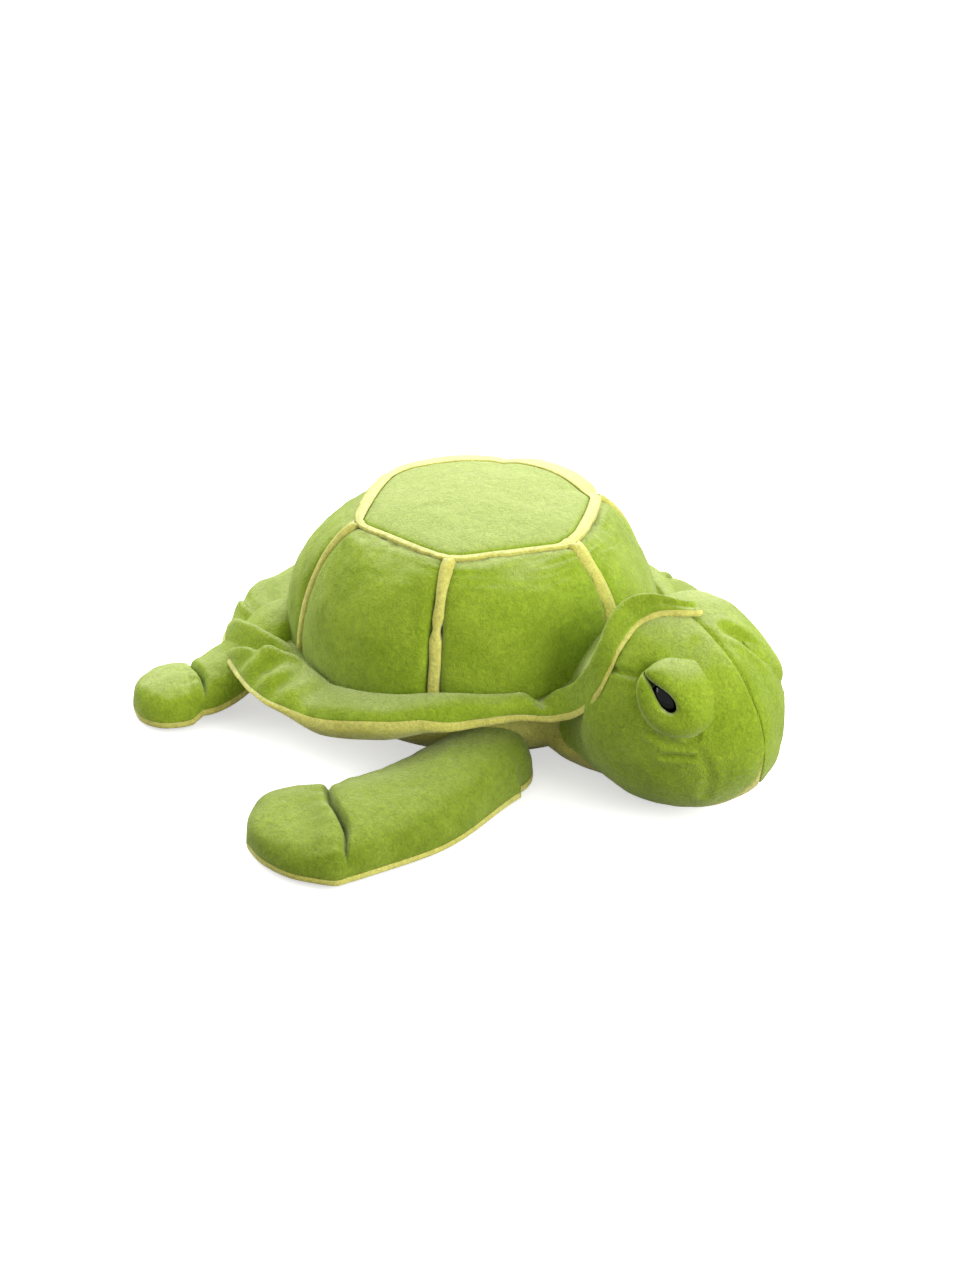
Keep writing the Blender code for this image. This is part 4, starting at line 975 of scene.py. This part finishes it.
def make_flipper(name, flipper, top_look):
    arm, tip = name + "_arm", name + "_tip"
    for cover, look, slot in (("upper", top_look, "green_plush"), ("under", YELLOW, "yellow_plush")):
        piece = sheet_object(f"plush_{name}_{cover}", flipper.skin(cover == "upper"), look)
        nodes = [f"{arm}_{cover}", f"{tip}_{cover}"]
        if cover == "upper":
            nodes += [arm + "_stuffing", tip + "_stuffing"]
        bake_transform(piece)
        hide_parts(*nodes)


def make_flippers():
    """The left front one is swept back and slimmer, because the head hides it in the photo."""
    front = dict(place=(90, 90), radius=31 * MM, half_width=37.5 * MM, arm=116 * MM, lean=math.radians(6.5),
                 slant=math.radians(28), heights=(38 * MM, 30 * MM, 25.5 * MM), raised=0.0,
                 paddle=(FRONT_TRAIL, FRONT_LEAD))
    rear = dict(place=(-102, 89), radius=23 * MM, half_width=26 * MM, arm=67 * MM, lean=math.radians(17),
                slant=math.radians(14), heights=(27 * MM, 28 * MM, 31.5 * MM), raised=35 * MM,
                paddle=(REAR_TRAIL, REAR_LEAD))
    # Both front flippers take the green with painted shade.
    make_flipper("front_right", Flipper(side=-1, bend=0, **front), SHADED)
    far = dict(front, place=(80, 88), radius=26 * MM, half_width=31 * MM,
               heights=(27 * MM, 27 * MM, 25.5 * MM))
    make_flipper("front_left", Flipper(side=1, bend=math.radians(68), **far), SHADED)
    make_flipper("rear_right", Flipper(side=-1, bend=0, **rear), GREEN)
    make_flipper("rear_left", Flipper(side=1, bend=0, **rear), GREEN)


# Stage, lights and camera
def camera_rays_only(tree, plain_shader, seen_shader, target):
    """Sends one shader to camera rays and another to all the rest."""
    path = tree.nodes.new("ShaderNodeLightPath")
    pick = tree.nodes.new("ShaderNodeMixShader")
    tree.links.new(path.outputs["Is Camera Ray"], pick.inputs["Fac"])
    tree.links.new(plain_shader, pick.inputs[1])
    tree.links.new(seen_shader, pick.inputs[2])
    tree.links.new(pick.outputs["Shader"], target.inputs["Surface"])


def make_world():
    world = bpy.data.worlds.new("studio")
    bpy.context.scene.world = world
    world.use_nodes = True
    tree = world.node_tree
    back = tree.nodes["Background"]
    back.inputs["Color"].default_value = (1, 1, 1, 1)
    back.inputs["Strength"].default_value = AMBIENT
    seen = tree.nodes.new("ShaderNodeBackground")
    seen.inputs["Color"].default_value = (1, 1, 1, 1)
    seen.inputs["Strength"].default_value = 1.0
    camera_rays_only(tree, back.outputs["Background"], seen.outputs["Background"],
                     tree.nodes["World Output"])


def make_floor():
    """White paper with a soft shadow to the camera, and dark enough not to light undersides."""
    bpy.ops.mesh.primitive_circle_add(vertices=64, radius=6, fill_type="NGON", location=(0, 0, -0.0005))
    floor = bpy.context.object
    floor.name = "floor"
    look = bpy.data.materials.new("white floor")
    look.use_nodes = True
    tree = look.node_tree
    nodes, links = tree.nodes, tree.links
    shader = nodes["Principled BSDF"]
    shader.inputs["Base Color"].default_value = (0.84, 0.84, 0.84, 1)
    shader.inputs["Roughness"].default_value = 1.0
    shader.inputs["Specular IOR Level"].default_value = 0.0
    dark = nodes.new("ShaderNodeBsdfDiffuse")
    dark.inputs["Color"].default_value = (0.27, 0.27, 0.25, 1)
    place = nodes.new("ShaderNodeTexCoord")
    reach = nodes.new("ShaderNodeVectorMath")
    reach.operation = "LENGTH"
    ramp = nodes.new("ShaderNodeMapRange")
    ramp.interpolation_type = "SMOOTHSTEP"
    ramp.inputs["From Min"].default_value = 0.25
    ramp.inputs["From Max"].default_value = 0.75
    ramp.inputs["To Min"].default_value = FLOOR_GLOW
    ramp.inputs["To Max"].default_value = 1.0
    glow = nodes.new("ShaderNodeEmission")
    glow.inputs["Color"].default_value = (1, 1, 1, 1)
    add = nodes.new("ShaderNodeAddShader")
    links.new(place.outputs["Object"], reach.inputs[0])
    links.new(reach.outputs["Value"], ramp.inputs["Value"])
    links.new(ramp.outputs["Result"], glow.inputs["Strength"])
    links.new(shader.outputs["BSDF"], add.inputs[0])
    links.new(glow.outputs["Emission"], add.inputs[1])
    camera_rays_only(tree, dark.outputs["BSDF"], add.outputs["Shader"], nodes["Material Output"])
    floor.data.materials.append(look)


def make_lamp(name, place, size, power):
    lamp = bpy.data.lights.new(name, "AREA")
    lamp.shape = "DISK"
    lamp.size = size
    lamp.energy = power
    lamp_object = bpy.data.objects.new(name, lamp)
    lamp_object.location = place
    aim = Vector((0, 0, 0.05)) - Vector(place)
    lamp_object.rotation_euler = aim.to_track_quat("-Z", "Y").to_euler()
    bpy.context.collection.objects.link(lamp_object)


def make_camera():
    azimuth, elevation = CAMERA_AZIMUTH, CAMERA_ELEVATION
    back = Vector((math.sin(azimuth) * math.cos(elevation), -math.cos(azimuth) * math.cos(elevation),
                   math.sin(elevation)))
    camera = bpy.data.cameras.new("camera")
    camera.sensor_width = 36
    camera.lens = camera.sensor_width * FOCAL_LENGTH / PHOTO_HEIGHT
    camera.shift_x = SHIFT_X / PHOTO_HEIGHT
    camera.shift_y = SHIFT_Y / PHOTO_HEIGHT
    camera.clip_start = 0.01
    camera_object = bpy.data.objects.new("camera", camera)
    camera_object.location = CAMERA_TARGET + back * CAMERA_DISTANCE
    camera_object.rotation_euler = (math.pi / 2 - elevation, 0, azimuth)
    bpy.context.collection.objects.link(camera_object)
    bpy.context.scene.camera = camera_object


make_camera()
make_world()
make_floor()
for lamp_values in LAMPS:
    make_lamp(*lamp_values)
make_shell()
make_top()
make_rim()
make_belly()
make_head()
make_eyes()
make_eyelids()
make_flippers()
for washer in ("left_eye_washer", "right_eye_washer"):
    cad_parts[washer].data.materials.clear()
    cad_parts[washer].data.materials.append(WASHER)

bpy.context.scene.view_settings.view_transform = "Standard"
